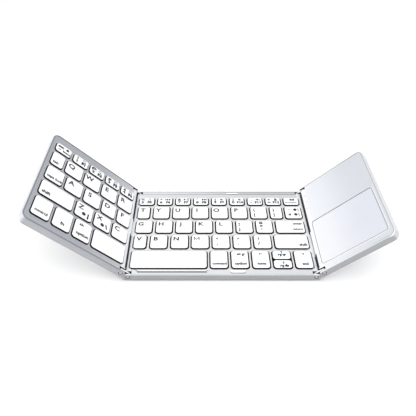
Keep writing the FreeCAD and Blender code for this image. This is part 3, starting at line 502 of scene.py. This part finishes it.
def keycap(name, side, white=0.90):
    """White top and rim over sides painted dark as shade in the gaps round the cap; on the raised wing the white
    reaches lower on the end faces.
    """
    m = Mat(name)
    m.set(metallic=0.0, rough=0.38, spec=0.4)
    height, up = local_height(m, side)
    g = m.noise(6000, 3, 0.55)
    cloud = m.noise(60, 2, 0.5)
    top = m.ramp(cloud, [(0.3, (white * 0.985, white * 0.985, white * 0.99)), (0.7, (white, white, white))])
    painted_skirt_shade = m.ramp(cloud, [(0.3, (0.008, 0.009, 0.011)), (0.7, (0.014, 0.015, 0.018))])
    fac = face_mask(m, up, 0.22, 0.36)
    if side:
        ends = face_mask(m, tuple(axes(side)[0]), 0.8, 0.95)
        fac = op(m, 'MAXIMUM', fac, mul(m, ends, ramp_range(m, height, 0.30, 0.40)))
    m.color(mix_color(m, fac, painted_skirt_shade, top))
    m.rough_from(g, 0.33, 0.44)
    m.bump([(g, 1.0)], 0.000015, 0.18)
    return m.m


def steel(name, base, rough=0.28, stretch=(1, 1, 40), painted_flank_shade=None, metallic=1.0, band=False):
    """Bright metal; painted_flank_shade is painted shade on faces turned to front or back, and on one side of the edge
    with band.
    """
    m = Mat(name)
    m.set(metallic=metallic, rough=rough)
    b = m.noise(900, 4, 0.6, stretch)
    col = m.ramp(b, [(0.25, tone(base, 0.9)), (0.75, tone(base, 1.05))])
    if painted_flank_shade:
        col = mix_color(m, face_mask(m, (0, 1, 0), 0.7, 0.9), col, painted_flank_shade)
        if band:
            sep = m.n.new('ShaderNodeSeparateXYZ')
            m.t.links.new(m.co, sep.inputs[0])
            y_mm = op(m, 'MULTIPLY', sep.outputs[1], 1000.0)
            col = mix_color(m, ramp_range(m, y_mm, -47.35, -47.45), col, painted_flank_shade)
            col = mix_color(m, mul(m, ramp_range(m, y_mm, 45.0, 45.1), ramp_range(m, y_mm, 47.0, 46.9)), col, painted_flank_shade)
    m.color(col)
    m.rough_from(b, rough - 0.08, rough + 0.1)
    m.bump([(b, 1.0)], 0.00001, 0.3)
    return m.m


MAT = {
    # deck, deck_left and deck_right are one anodised silver made lighter or darker per section for the light it gets,
    # and base, base_left and base_right one silver plastic likewise: painted light and shade
    "deck": silver("silver_deck", (0.89, 0.90, 0.925), line=0.55, painted_side_shade=0.42, painted_rim_highlight=0.6, painted_light_strip=(0.74, 0.75, 0.775),
                   scoop=((0.50, 0.515, 0.55), (0.36, 0.375, 0.41)), cables=((-1, -8.1, 9.9), (1, -30.6, -5.9))),
    "deck_left": silver("silver_deck_left", (0.775, 0.795, 0.85), side=-1, out=85.9, line=0.54, painted_side_shade=0.54, painted_rim_highlight=1.0, cables=((-1, -8.1, 9.9),),
                        painted_reflection_ramp=((0.92, 0.94, 1.0), (0.775, 0.797, 0.862)), painted_light_strip=(0.80, 0.81, 0.845)),
    "deck_right": silver("silver_deck_right", (0.82, 0.83, 0.85), side=1, out=61.7, line=0.64, painted_side_shade=0.46,
                         frame_line=(1.55, 57.4, -42.6, 3.3, 2.0), painted_halo=(0.97, 0.975, 0.985), cables=((1, -30.6, -5.9),),
                         opening_shade=(0.22, 0.225, 0.24), painted_reflection_ramp=((0.905, 0.925, 0.972), (0.755, 0.785, 0.835)),
                         painted_light_strip=(0.86, 0.865, 0.88)),
    "base": moulded("silver_base", (0.66, 0.67, 0.69), 0.4, 5200, 0.25, painted_side_shade=0.462, painted_foot_shade=0.37),
    "base_left": moulded("silver_base_left", (0.66, 0.665, 0.675), 0.4, 5200, 0.25, painted_side_shade=0.545, painted_foot_shade=0.43, side=-1,
                         outer=(0.97, 0.96, 0.93)),
    "base_right": moulded("silver_base_right", (0.66, 0.67, 0.69), 0.4, 5200, 0.25, painted_side_shade=0.48, painted_foot_shade=0.39, side=1,
                           outer=(0.58, 0.59, 0.585)),
    "cover_left": seam_cover("seam_left", (0.94, 0.945, 0.955), -1, 0.88),
    "cover_right": seam_cover("seam_right", (0.94, 0.945, 0.955), 1, 0.72),
    "dark": moulded("dark_filler", (0.026, 0.029, 0.040), 0.5),
    "key": keycap("white_key", 0),
    # lighter copy of the key white for the raised wing: painted light
    "key_left": keycap("white_key_raised_painted_lighter", -1, 0.97),
    "steel": steel("bright_steel", (0.62, 0.63, 0.65)),
    # link plates painted near white as their highlight, with painted shade on their flanks
    "link": steel("link_steel_painted_light_and_shade", (0.95, 0.955, 0.965), 0.4, painted_flank_shade=(0.01, 0.01, 0.012), metallic=0.0, band=True),
    "pin": steel("pin_steel", (0.50, 0.505, 0.52), 0.3, metallic=0.4),
    # key plate painted near black as shade under the keys
    "plate": steel("key_plate_steel_painted_shade", (0.04, 0.042, 0.047), 0.42, (1, 40, 1)),
    "rubber": moulded("feet_rubber", (0.10, 0.105, 0.115), 0.75, 3000, 0.6),
    # bumper with painted shade on its front flank and in strips along its rear and front
    "bumper": moulded("white_bumper", (0.90, 0.90, 0.89), 0.6, 3600, 0.4, painted_side_shade=0.42,
                      shade_bands=((46.95, 47.15, 0.5), (-46.5, -46.8, 0.78))),
    "film": moulded("switch_film", (0.018, 0.019, 0.022), 0.3),
    "pad": silver("touch_surface", (0.82, 0.83, 0.85), 0.42, side=1, out=61.7, edge_line=False, opening_shade=(0.22, 0.225, 0.24),
                  painted_reflection_ramp=((0.945, 0.958, 0.99), (0.80, 0.825, 0.895)), painted_light_strip=(0.90, 0.905, 0.92),
                  frame_line=(1.55, 57.4, -42.6, 3.3, 2.0)),
    "board": moulded("board_green", (0.02, 0.10, 0.055), 0.35),
    "foil": steel("cell_foil", (0.70, 0.71, 0.73), 0.4),
    "led": moulded("light_guide", (0.46, 0.49, 0.52), 0.2),
    "legend": moulded("legend_ink", (0.018, 0.018, 0.021), 0.6),
    "legend_blue": moulded("legend_ink_blue", (0.012, 0.032, 0.075), 0.6),
}
BY_SLOT = {"anodised_silver": "deck", "silver_plastic": "base", "dark_plastic": "dark", "white_keys": "key",
           "steel": "steel", "grey_rubber": "rubber", "switch_film": "film", "touch_surface": "pad",
           "board_green": "board", "cell_foil": "foil", "white_rubber": "bumper", "light_guide": "led"}
RAISED = {"keys_1_to_4", "key_escape", "keys_q_to_r", "key_tab", "keys_a_to_f", "key_caps_lock", "keys_z_to_c",
          "key_shift_left", "key_space_left", "key_alt_left", "key_function", "key_control"}
slot_of = {s["node"]: s["material_slot"] for s in record["subparts"]}
for name, ob in nodes.items():
    key = BY_SLOT[slot_of[name]]
    if name.endswith("key_plate"):
        key = "plate"
    if name.endswith("link_plates"):
        key = "link"
    if name.endswith("hinge_pins"):
        key = "pin"
    if key == "base" and name.startswith(("left", "right")):
        key = "base_left" if name.startswith("left") else "base_right"
    if name.endswith("cable_cover"):
        key = "cover_left" if name.startswith("left") else "cover_right"
    elif key == "deck" and name.startswith(("left", "right")):
        key = "deck_left" if name.startswith("left") else "deck_right"
    if key == "key" and name in RAISED:
        key = "key_left"
    ob.data.materials.clear()
    ob.data.materials.append(MAT[key])

# ---------------------------------------------------------------- legends
ROW = {1: (30.3, 39.5), 2: (12.9, 27.3), 3: (-4.5, 9.8), 4: (-22.05, -7.65), 5: (-42.8, -25.15)}


def row(r, spans, left_wing=False):
    """Cap outlines of some keys of one row, in millimetres, flat-drawn frame."""
    if left_wing:
        spans = [(-WING_X - b, -WING_X - a) for a, b in spans]
    return [(a, b) + ROW[r] for a, b in spans]


C1 = row(1, [(-72.8, -59.6), (-56.0, -43.1), (-39.5, -26.7), (-23.0, -10.3), (-6.6, 6.1), (9.8, 22.5),
             (26.2, 39.0), (42.6, 55.75)])
C2 = row(2, [(-72.6, -62.5), (-58.7, -45.0), (-41.4, -27.5), (-24.3, -10.3), (-6.9, 7.0), (10.6, 24.2),
             (27.8, 41.6), (45.2, 55.3)])
C3 = row(3, [(-72.6, -58.95), (-55.2, -41.6), (-38.1, -24.3), (-20.9, -7.0), (-3.5, 10.1), (14.0, 27.6),
             (31.2, 44.8)])
C4 = row(4, [(-72.5, -62.5), (-58.7, -45.0), (-41.4, -27.5), (-24.3, -10.3), (-6.9, 7.0), (10.6, 24.2),
             (27.8, 41.6)])
C5 = row(5, [(-8.9, 4.6), (8.0, 21.3), (24.8, 38.2), (41.6, 55.6), (59.0, 72.5)])
C_BACKSPACE = row(1, [(59.2, 72.3)])[0]
C_BACKSLASH = row(2, [(58.5, 72.5)])[0]
C_ENTER = row(3, [(48.4, 72.4)])[0]
C_SHIFT = row(4, [(45.1, 72.6)])[0]
L1 = row(1, [(1.6, 15.3), (17.9, 31.8), (34.5, 48.3), (51.1, 64.7), (67.7, 81.2)], True)
L2 = row(2, [(1.6, 16.0), (18.6, 33.1), (35.9, 50.7), (53.5, 68.0), (70.9, 81.2)], True)
L3 = row(3, [(1.5, 14.0), (16.7, 29.5), (32.1, 46.8), (49.5, 64.1), (66.9, 81.2)], True)
L4 = row(4, [(1.5, 16.0), (18.7, 33.4), (36.0, 50.7), (53.5, 81.2)], True)
L5 = row(5, [(33.6, 47.7), (50.5, 64.6), (67.4, 81.2)], True)


class Ink:
    """Collects thin closed figures on top of the keys of one body."""

    def __init__(self, side=0, tint=False):
        self.bm = bmesh.new()
        self.side = side
        self.ink = "legend_blue" if tint else "legend"

    def add_mesh(self, me, mat):
        tmp = bmesh.new()
        tmp.from_mesh(me)
        bmesh.ops.transform(tmp, matrix=mat, verts=tmp.verts)
        out = bpy.data.meshes.new("t")
        tmp.to_mesh(out)
        tmp.free()
        self.bm.from_mesh(out)
        bpy.data.meshes.remove(out)

    def text(self, s, x, y, h, align='CENTER', bold=0.045, squeeze=1.06):
        """h is the height of a capital letter in millimetres; x, y its middle."""
        if s == "M":
            w, t = h * 0.52 * squeeze, h * 0.17
            self.poly([(-w, -h / 2), (-w + t, -h / 2), (-w + t, h * 0.22), (0, -h * 0.36), (w - t, h * 0.22),
                       (w - t, -h / 2), (w, -h / 2), (w, h / 2), (w - t * 0.9, h / 2), (0, -h * 0.12),
                       (-w + t * 0.9, h / 2), (-w, h / 2)], x, y)
            return
        cu = bpy.data.curves.new("t", 'FONT')
        cu.body = s
        cu.size = h / 0.70
        cu.align_x = align
        cu.offset = bold * cu.size
        cu.extrude = 0.01
        cu.resolution_u = 3
        ob = bpy.data.objects.new("t", cu)
        bpy.context.scene.collection.objects.link(ob)
        me = bpy.data.meshes.new_from_object(ob)
        bpy.data.objects.remove(ob)
        bpy.data.curves.remove(cu)
        self.add_mesh(me, Matrix.Translation((x, y - h / 2, KEY_TOP + 0.012)) @ Matrix.Diagonal((squeeze, 1, 1, 1)))
        bpy.data.meshes.remove(me)

    tall = 1.0      # height of icons over their width, for the shallow keys of the upper row

    def poly(self, pts, x, y, k=1.0):
        z0, z1 = KEY_TOP + 0.002, KEY_TOP + 0.022
        ky = k * self.tall
        b = bmesh.new()
        lo = [b.verts.new((x + px * k, y + py * ky, z0)) for px, py in pts]
        hi = [b.verts.new((x + px * k, y + py * ky, z1)) for px, py in pts]
        n = len(pts)
        b.faces.new(hi)
        b.faces.new(lo[::-1])
        for i in range(n):
            b.faces.new((lo[i], lo[(i + 1) % n], hi[(i + 1) % n], hi[i]))
        bmesh.ops.recalc_face_normals(b, faces=b.faces)
        me = bpy.data.meshes.new("t")
        b.to_mesh(me)
        b.free()
        self.bm.from_mesh(me)
        bpy.data.meshes.remove(me)

    def disc(self, x, y, r, n=20):
        self.poly([(r * math.cos(2 * math.pi * i / n), r * math.sin(2 * math.pi * i / n)) for i in range(n)], x, y)

    def rect(self, x, y, w, h):
        self.poly([(-w / 2, -h / 2), (w / 2, -h / 2), (w / 2, h / 2), (-w / 2, h / 2)], x, y)

    def icon(self, kind, x, y, k=1.0):
        if kind == "rew":
            for d in (-0.85, 0.75):
                self.poly([(-0.75, 0), (0.75, -0.8), (0.75, 0.8)], x + d * k, y, k)
            self.rect(x - 1.85 * k, y, 0.35 * k, 1.6 * k)
        elif kind == "fwd":
            for d in (-0.75, 0.85):
                self.poly([(0.75, 0), (-0.75, 0.8), (-0.75, -0.8)], x + d * k, y, k)
            self.rect(x + 1.85 * k, y, 0.35 * k, 1.6 * k)
        elif kind == "play":
            self.poly([(0.7, 0), (-0.8, 0.85), (-0.8, -0.85)], x - 0.8 * k, y, k)
            self.rect(x + 0.75 * k, y, 0.45 * k, 1.7 * k)
            self.rect(x + 1.6 * k, y, 0.45 * k, 1.7 * k)
        elif kind in ("spk0", "spk1", "spk2"):
            self.rect(x - 0.9 * k, y, 0.7 * k, 0.8 * k)
            self.poly([(-0.6, 0), (0.5, -0.95), (0.5, 0.95)], x - 0.1 * k, y, k)
            for i in range(int(kind[3])):
                self.rect(x + (0.85 + 0.6 * i) * k, y, 0.24 * k, (0.9 + 0.5 * i) * k)
        elif kind == "lock":
            self.rect(x, y - 0.35 * k, 1.7 * k, 1.15 * k)
            self.rect(x - 0.5 * k, y + 0.55 * k, 0.26 * k, 0.7 * k)
            self.rect(x + 0.5 * k, y + 0.55 * k, 0.26 * k, 0.7 * k)
            self.rect(x, y + 0.95 * k, 1.26 * k, 0.26 * k)
        elif kind == "cut":
            self.poly([(-0.9, -1.0), (-0.6, -1.0), (0.15, 1.0), (-0.1, 1.0)], x, y, k)
            self.poly([(0.9, -1.0), (0.6, -1.0), (-0.15, 0.98), (0.1, 0.98)], x, y, k)
        elif kind == "home":
            self.poly([(-1.2, 0.1), (0, 1.1), (1.2, 0.1), (0.8, 0.1), (0.8, -0.9), (-0.8, -0.9), (-0.8, 0.1)], x, y, k)
        elif kind == "page":
            for a, b_, w, h in ((-0.75, 0, 0.25, 1.8), (0.75, 0, 0.25, 1.8), (0, 0.78, 1.3, 0.25), (0, -0.78, 1.3, 0.25),
                                (0, 0.2, 0.8, 0.25)):
                self.rect(x + a * k, y + b_ * k, w * k, h * k)
        elif kind == "lens":
            n = 16
            for i in range(n):
                a0, a1 = 2 * math.pi * i / n, 2 * math.pi * (i + 1) / n
                self.poly([(0.8 * math.cos(a0), 0.8 * math.sin(a0)), (0.8 * math.cos(a1), 0.8 * math.sin(a1)),
                           (0.52 * math.cos(a1), 0.52 * math.sin(a1)), (0.52 * math.cos(a0), 0.52 * math.sin(a0))],
                          x - 0.2 * k, y + 0.2 * k, k)
            self.poly([(0.3, -0.45), (0.5, -0.3), (1.1, -0.95), (0.9, -1.1)], x, y, k)
        elif kind in ("left", "right", "up", "down"):
            a = {"left": math.pi, "right": 0, "up": math.pi / 2, "down": -math.pi / 2}[kind]
            c, s = math.cos(a), math.sin(a)
            pts = [(1.0, 0), (0.1, 0.85), (0.1, 0.24), (-1.0, 0.24), (-1.0, -0.24), (0.1, -0.24), (0.1, -0.85)]
            self.poly([(px * c - py * s, px * s + py * c) for px, py in pts], x, y, k)

    def done(self, name, body):
        me = bpy.data.meshes.new(name)
        bmesh.ops.transform(self.bm, matrix=Matrix.Scale(MM, 4), verts=self.bm.verts)
        if self.side:
            bmesh.ops.transform(self.bm, matrix=rest_matrix(self.side), verts=self.bm.verts)
        self.bm.to_mesh(me)
        self.bm.free()
        me.materials.append(MAT[self.ink])
        ob = bpy.data.objects.new(name, me)
        bpy.context.scene.collection.objects.link(ob)
        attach(ob, body)
        return ob


def letters(ink, caps, chars, dx=4.0, dy=4.0, h=3.9, wide=1.18):
    for (x0, x1, y0, y1), c in zip(caps, chars):
        ink.text(c, x0 + dx, y1 - dy, h, bold=0.032, squeeze=wide)


# upper row: shifted sign over the digit at the left, function name and icon at the right
ink, blue = Ink(), Ink(tint=True)
blue.tall = 1.45
for k, hi, lo, fn, ic in zip(C1, "%^&*()_+", "567890-=", ("F5", "F6", "F7", "F8", "F9", "F10", "F11", "F12"),
                             ("cut", "rew", "play", "fwd", "spk0", "spk1", "spk2", "lock")):
    ink.text(hi, k[0] + 3.0, k[3] - 2.4, 2.7, squeeze=1.2)
    ink.text(lo, k[0] + 3.0, k[3] - 6.0, 2.8, squeeze=1.2)
    ink.text(fn, k[0] + 9.2, k[3] - 6.0, 2.7, bold=0.06)
    blue.icon(ic, k[0] + 9.1, k[3] - 2.4, 1.35)
ink.done("legend_5_to_equals", "keys_5_to_equals_body")
blue.done("legend_functions", "keys_5_to_equals_body")

ink, k = Ink(), C_BACKSPACE
ink.text("del", k[1] - 5.6, k[3] - 2.3, 2.5, bold=0.055)
ink.text("backspace", k[1] - 6.9, k[3] - 5.9, 1.9, bold=0.02, squeeze=0.98)
ink.done("legend_backspace", "key_backspace_body")

ink = Ink()
letters(ink, C2[:6], "TYUIOP", 4.0, 4.2, 4.3, 1.1)
for k, hi, lo in zip(C2[6:], "{}", "[]"):
    ink.text(hi, k[0] + 3.0, k[3] - 3.9, 2.9)
    ink.text(lo, k[0] + 3.0, k[3] - 9.9, 2.9)
ink.done("legend_t_to_bracket", "keys_t_to_bracket_body")

ink, k = Ink(), C_BACKSLASH
ink.text("~", k[0] + 3.9, k[3] - 3.5, 2.6, bold=0.042)
ink.text("#", k[0] + 3.7, k[3] - 9.6, 2.4)
for dy, c in ((3.6, "|"), (9.6, "\\")):
    ink.disc(k[0] + 9.1, k[3] - dy, 1.6)
    ink.text(c, k[0] + 11.9, k[3] - dy, 2.8)
ink.done("legend_backslash", "key_backslash_body")

ink = Ink()
letters(ink, C3[:5], "GHJKL")
k = C3[5]
ink.text(":", k[0] + 2.5, k[3] - 3.8, 4.2, bold=0.055)
ink.text(";", k[0] + 2.6, k[3] - 9.6, 4.2, bold=0.055)
k = C3[6]
ink.text("@", k[0] + 4.0, k[3] - 2.5, 2.3)
ink.text("\"", k[0] + 4.2, k[3] - 7.8, 3.8, bold=0.05, squeeze=1.3)
ink.text("'", k[0] + 4.4, k[3] - 11.4, 3.4, bold=0.05)
ink.done("legend_g_to_quote", "keys_g_to_quote_body")

ink, k = Ink(), C_ENTER
ink.text("enter", k[1] - 1.3, k[3] - 3.6, 2.4, 'RIGHT')
ink.text("return", k[1] - 1.6, k[3] - 10.2, 2.25, 'RIGHT')
ink.done("legend_enter", "key_enter_body")

ink = Ink()
letters(ink, C4[:4], "VBNM")
for k, hi, lo in zip(C4[4:], "<>?", ",./"):
    ink.text(hi, k[0] + 3.8, k[3] - 3.9, 2.6)
    ink.text(lo, k[0] + 3.8, k[3] - 9.4, 3.2, bold=0.042)
ink.done("legend_v_to_slash", "keys_v_to_slash_body")

ink, k = Ink(), C_SHIFT
ink.text("shift", k[1] - 1.1, k[3] - 10.7, 2.55, 'RIGHT')
ink.done("legend_shift_right", "key_shift_right_body")

ink, k = Ink(), C5[0]
ink.text("command", k[0] + 7.2, k[3] - 13.2, 2.35, squeeze=0.86)
ink.done("legend_command", "key_command_body")

ink, k = Ink(), C5[1]
ink.text("alt gr", k[0] + 7.8, k[3] - 3.4, 2.35, squeeze=0.96)
ink.text("option", k[0] + 7.2, k[3] - 13.2, 2.6, squeeze=1.0)
ink.done("legend_alt_right", "key_alt_right_body")

ink, k = Ink(), C5[2]
ink.icon("left", k[0] + 6.7, k[3] - 3.3, 1.4)
blue = Ink(tint=True)
blue.text("home", k[0] + 7.1, k[3] - 13.3, 2.3, bold=0.055, squeeze=0.9)
blue.done("legend_home", "key_arrow_left_body")
ink.done("legend_arrow_left", "key_arrow_left_body")

ink, k = Ink(tint=True), C5[3]
ink.icon("up", k[0] + 7.3, k[3] - 1.6, 1.4)
ink.text("pg up", k[0] + 7.6, k[3] - 3.8, 2.4, bold=0.08, squeeze=0.9)
ink.done("legend_arrow_up", "key_arrow_up_body")

ink = Ink(tint=True)
ink.icon("down", k[0] + 7.6, k[3] - 12.4, 1.4)
ink.text("pg dn", k[0] + 8.1, k[3] - 15.2, 2.4, bold=0.08, squeeze=0.9)
ink.done("legend_arrow_down", "key_arrow_down_body")

ink, k = Ink(), C5[4]
ink.icon("right", k[0] + 7.1, k[3] - 3.3, 1.4)
blue = Ink(tint=True)
blue.text("end", k[0] + 7.6, k[3] - 13.5, 2.4, bold=0.055, squeeze=0.95)
blue.done("legend_end", "key_arrow_right_body")
ink.done("legend_arrow_right", "key_arrow_right_body")

ink, blue = Ink(-1), Ink(-1, tint=True)
for k, hi, lo, fn, ic in zip(L1, "$#@!", "4321", ("F4", "F3", "F2", "F1"), ("page", "page", "lens", "page")):
    ink.text(hi, k[0] + 3.2, k[3] - 2.4, 2.8, bold=0.055, squeeze=1.2)
    ink.text(lo, k[0] + 3.2, k[3] - 6.2, 2.9, bold=0.055, squeeze=1.2)
    blue.text(fn, k[0] + 9.7, k[3] - 6.1, 2.9, bold=0.08)
    blue.icon(ic, k[0] + 9.6, k[3] - 2.6, 1.8)
ink.done("legend_1_to_4", "keys_1_to_4_body")
blue.done("legend_functions_left", "keys_1_to_4_body")

ink, k = Ink(-1), L1[4]
ink.text("esc", k[0] + 3.7, k[3] - 2.6, 2.6, bold=0.07)
ink.text("~", k[0] + 3.2, k[3] - 6.2, 2.4, bold=0.06)
ink.icon("home", k[0] + 9.7, k[3] - 2.7, 1.45)
ink.text("home", k[0] + 9.6, k[3] - 6.4, 2.0, bold=0.06)
ink.done("legend_escape", "key_escape_body")

ink = Ink(-1)
letters(ink, L2[:4], "REWQ", 4.2, 4.4, 4.5, 1.12)
ink.done("legend_q_to_r", "keys_q_to_r_body")
ink, k = Ink(-1), L2[4]
ink.text("tab", k[0] + 1.5, k[3] - 10.8, 2.6, 'LEFT')
ink.done("legend_tab", "key_tab_body")

ink = Ink(-1)
letters(ink, L3[:4], "FDSA", 4.3, 4.4, 4.4, 1.12)
ink.done("legend_a_to_f", "keys_a_to_f_body")
ink, k = Ink(-1), L3[4]
ink.text("caps lock", k[0] + 1.2, k[3] - 10.6, 2.5, 'LEFT', squeeze=0.98)
ink.done("legend_caps_lock", "key_caps_lock_body")

ink = Ink(-1)
letters(ink, L4[:3], "CXZ", 4.0, 4.1, 4.4, 1.12)
for k, c in ((L4[1], "\\"), (L4[2], "|")):
    ink.disc(k[0] + 7.4, k[3] - 9.9, 1.7)
    ink.text(c, k[0] + 11.3, k[3] - 9.9, 3.6, bold=0.075)
ink.done("legend_z_to_c", "keys_z_to_c_body")
ink, k = Ink(-1), L4[3]
ink.text("shift", k[0] + 1.9, k[3] - 10.7, 2.7, 'LEFT')
ink.done("legend_shift_left", "key_shift_left_body")

ink, k = Ink(-1), L5[0]
ink.text("alt", k[0] + 5.2, k[3] - 3.6, 2.3)
ink.text("option", k[0] + 7.6, k[3] - 12.6, 2.7)
ink.done("legend_alt_left", "key_alt_left_body")
ink, k = Ink(-1), L5[1]
ink.text("fn", k[0] + 7.6, k[3] - 12.6, 2.8)
ink.done("legend_function", "key_function_body")
ink, k = Ink(-1), L5[2]
ink.text("control", k[0] + 7.0, k[3] - 12.8, 2.45, squeeze=0.98)
ink.done("legend_control", "key_control_body")

# ---------------------------------------------------------------- stage
WORLD = {"base": 0.42, "left": 0.45, "top": 0.42, "low": 0.36, "front": 0.25}
TOP_POWER = 6.0
bpy.ops.mesh.primitive_plane_add(size=8, location=(0, 0, 0))
floor = bpy.context.object
floor.name = "floor"
fm = Mat("floor")
fm.set(rough=0.9, spec=0.1, color=(0.905, 0.905, 0.908))
floor.data.materials.append(fm.m)

world = bpy.data.worlds.new("studio")
bpy.context.scene.world = world
world.use_nodes = True
wt = world.node_tree
wn = wt.nodes
bg = next(n for n in wn if n.type == 'BACKGROUND')
wco = wn.new('ShaderNodeTexCoord')
sep = wn.new('ShaderNodeSeparateXYZ')
wt.links.new(wco.outputs['Generated'], sep.inputs[0])


def wramp(sock, a, b, lo, hi):
    nd = wn.new('ShaderNodeMapRange')
    nd.interpolation_type = 'SMOOTHSTEP'
    nd.inputs['From Min'].default_value = a
    nd.inputs['From Max'].default_value = b
    nd.inputs['To Min'].default_value = lo
    nd.inputs['To Max'].default_value = hi
    wt.links.new(sock, nd.inputs['Value'])
    return nd.outputs['Result']


def wmath(op, a, b):
    nd = wn.new('ShaderNodeMath')
    nd.operation = op
    for i, v in enumerate((a, b)):
        if isinstance(v, float):
            nd.inputs[i].default_value = v
        else:
            wt.links.new(v, nd.inputs[i])
    return nd.outputs[0]


X, Y, Z = sep.outputs[0], sep.outputs[1], sep.outputs[2]
side_glow = wramp(X, 0.45, -0.75, 0.0, WORLD["left"])
top_glow = wramp(Z, 0.40, 0.88, 0.0, WORLD["top"])
low_left = wmath('MULTIPLY', wramp(Z, 0.40, 0.15, 0.0, WORLD["low"]), wramp(X, -0.35, -0.75, 0.0, 1.0))
front = wramp(Y, 0.0, -0.7, 0.0, WORLD["front"])
total = wmath('ADD', wmath('ADD', side_glow, top_glow), wmath('ADD', low_left, wmath('ADD', front, WORLD["base"])))
wt.links.new(total, bg.inputs['Strength'])
bg.inputs['Color'].default_value = (1.0, 1.0, 1.0, 1)


def area(name, loc, target, size, power, glossy=True):
    ld = bpy.data.lights.new(name, 'AREA')
    ld.shape = 'RECTANGLE'
    ld.size, ld.size_y = size
    ld.energy = power
    o = bpy.data.objects.new(name, ld)
    o.location = loc
    d = Vector(target) - Vector(loc)
    o.rotation_euler = d.to_track_quat('-Z', 'Y').to_euler()
    o.visible_glossy = glossy
    bpy.context.scene.collection.objects.link(o)
    return o


area("top_light", (0.08, -0.25, 1.1), (0, 0, 0), (1.1, 1.1), TOP_POWER, glossy=False)

area("right_fill", (0.75, -0.35, 0.75), (-0.1, 0, 0.02), (0.5, 0.5), 1.3, glossy=False)
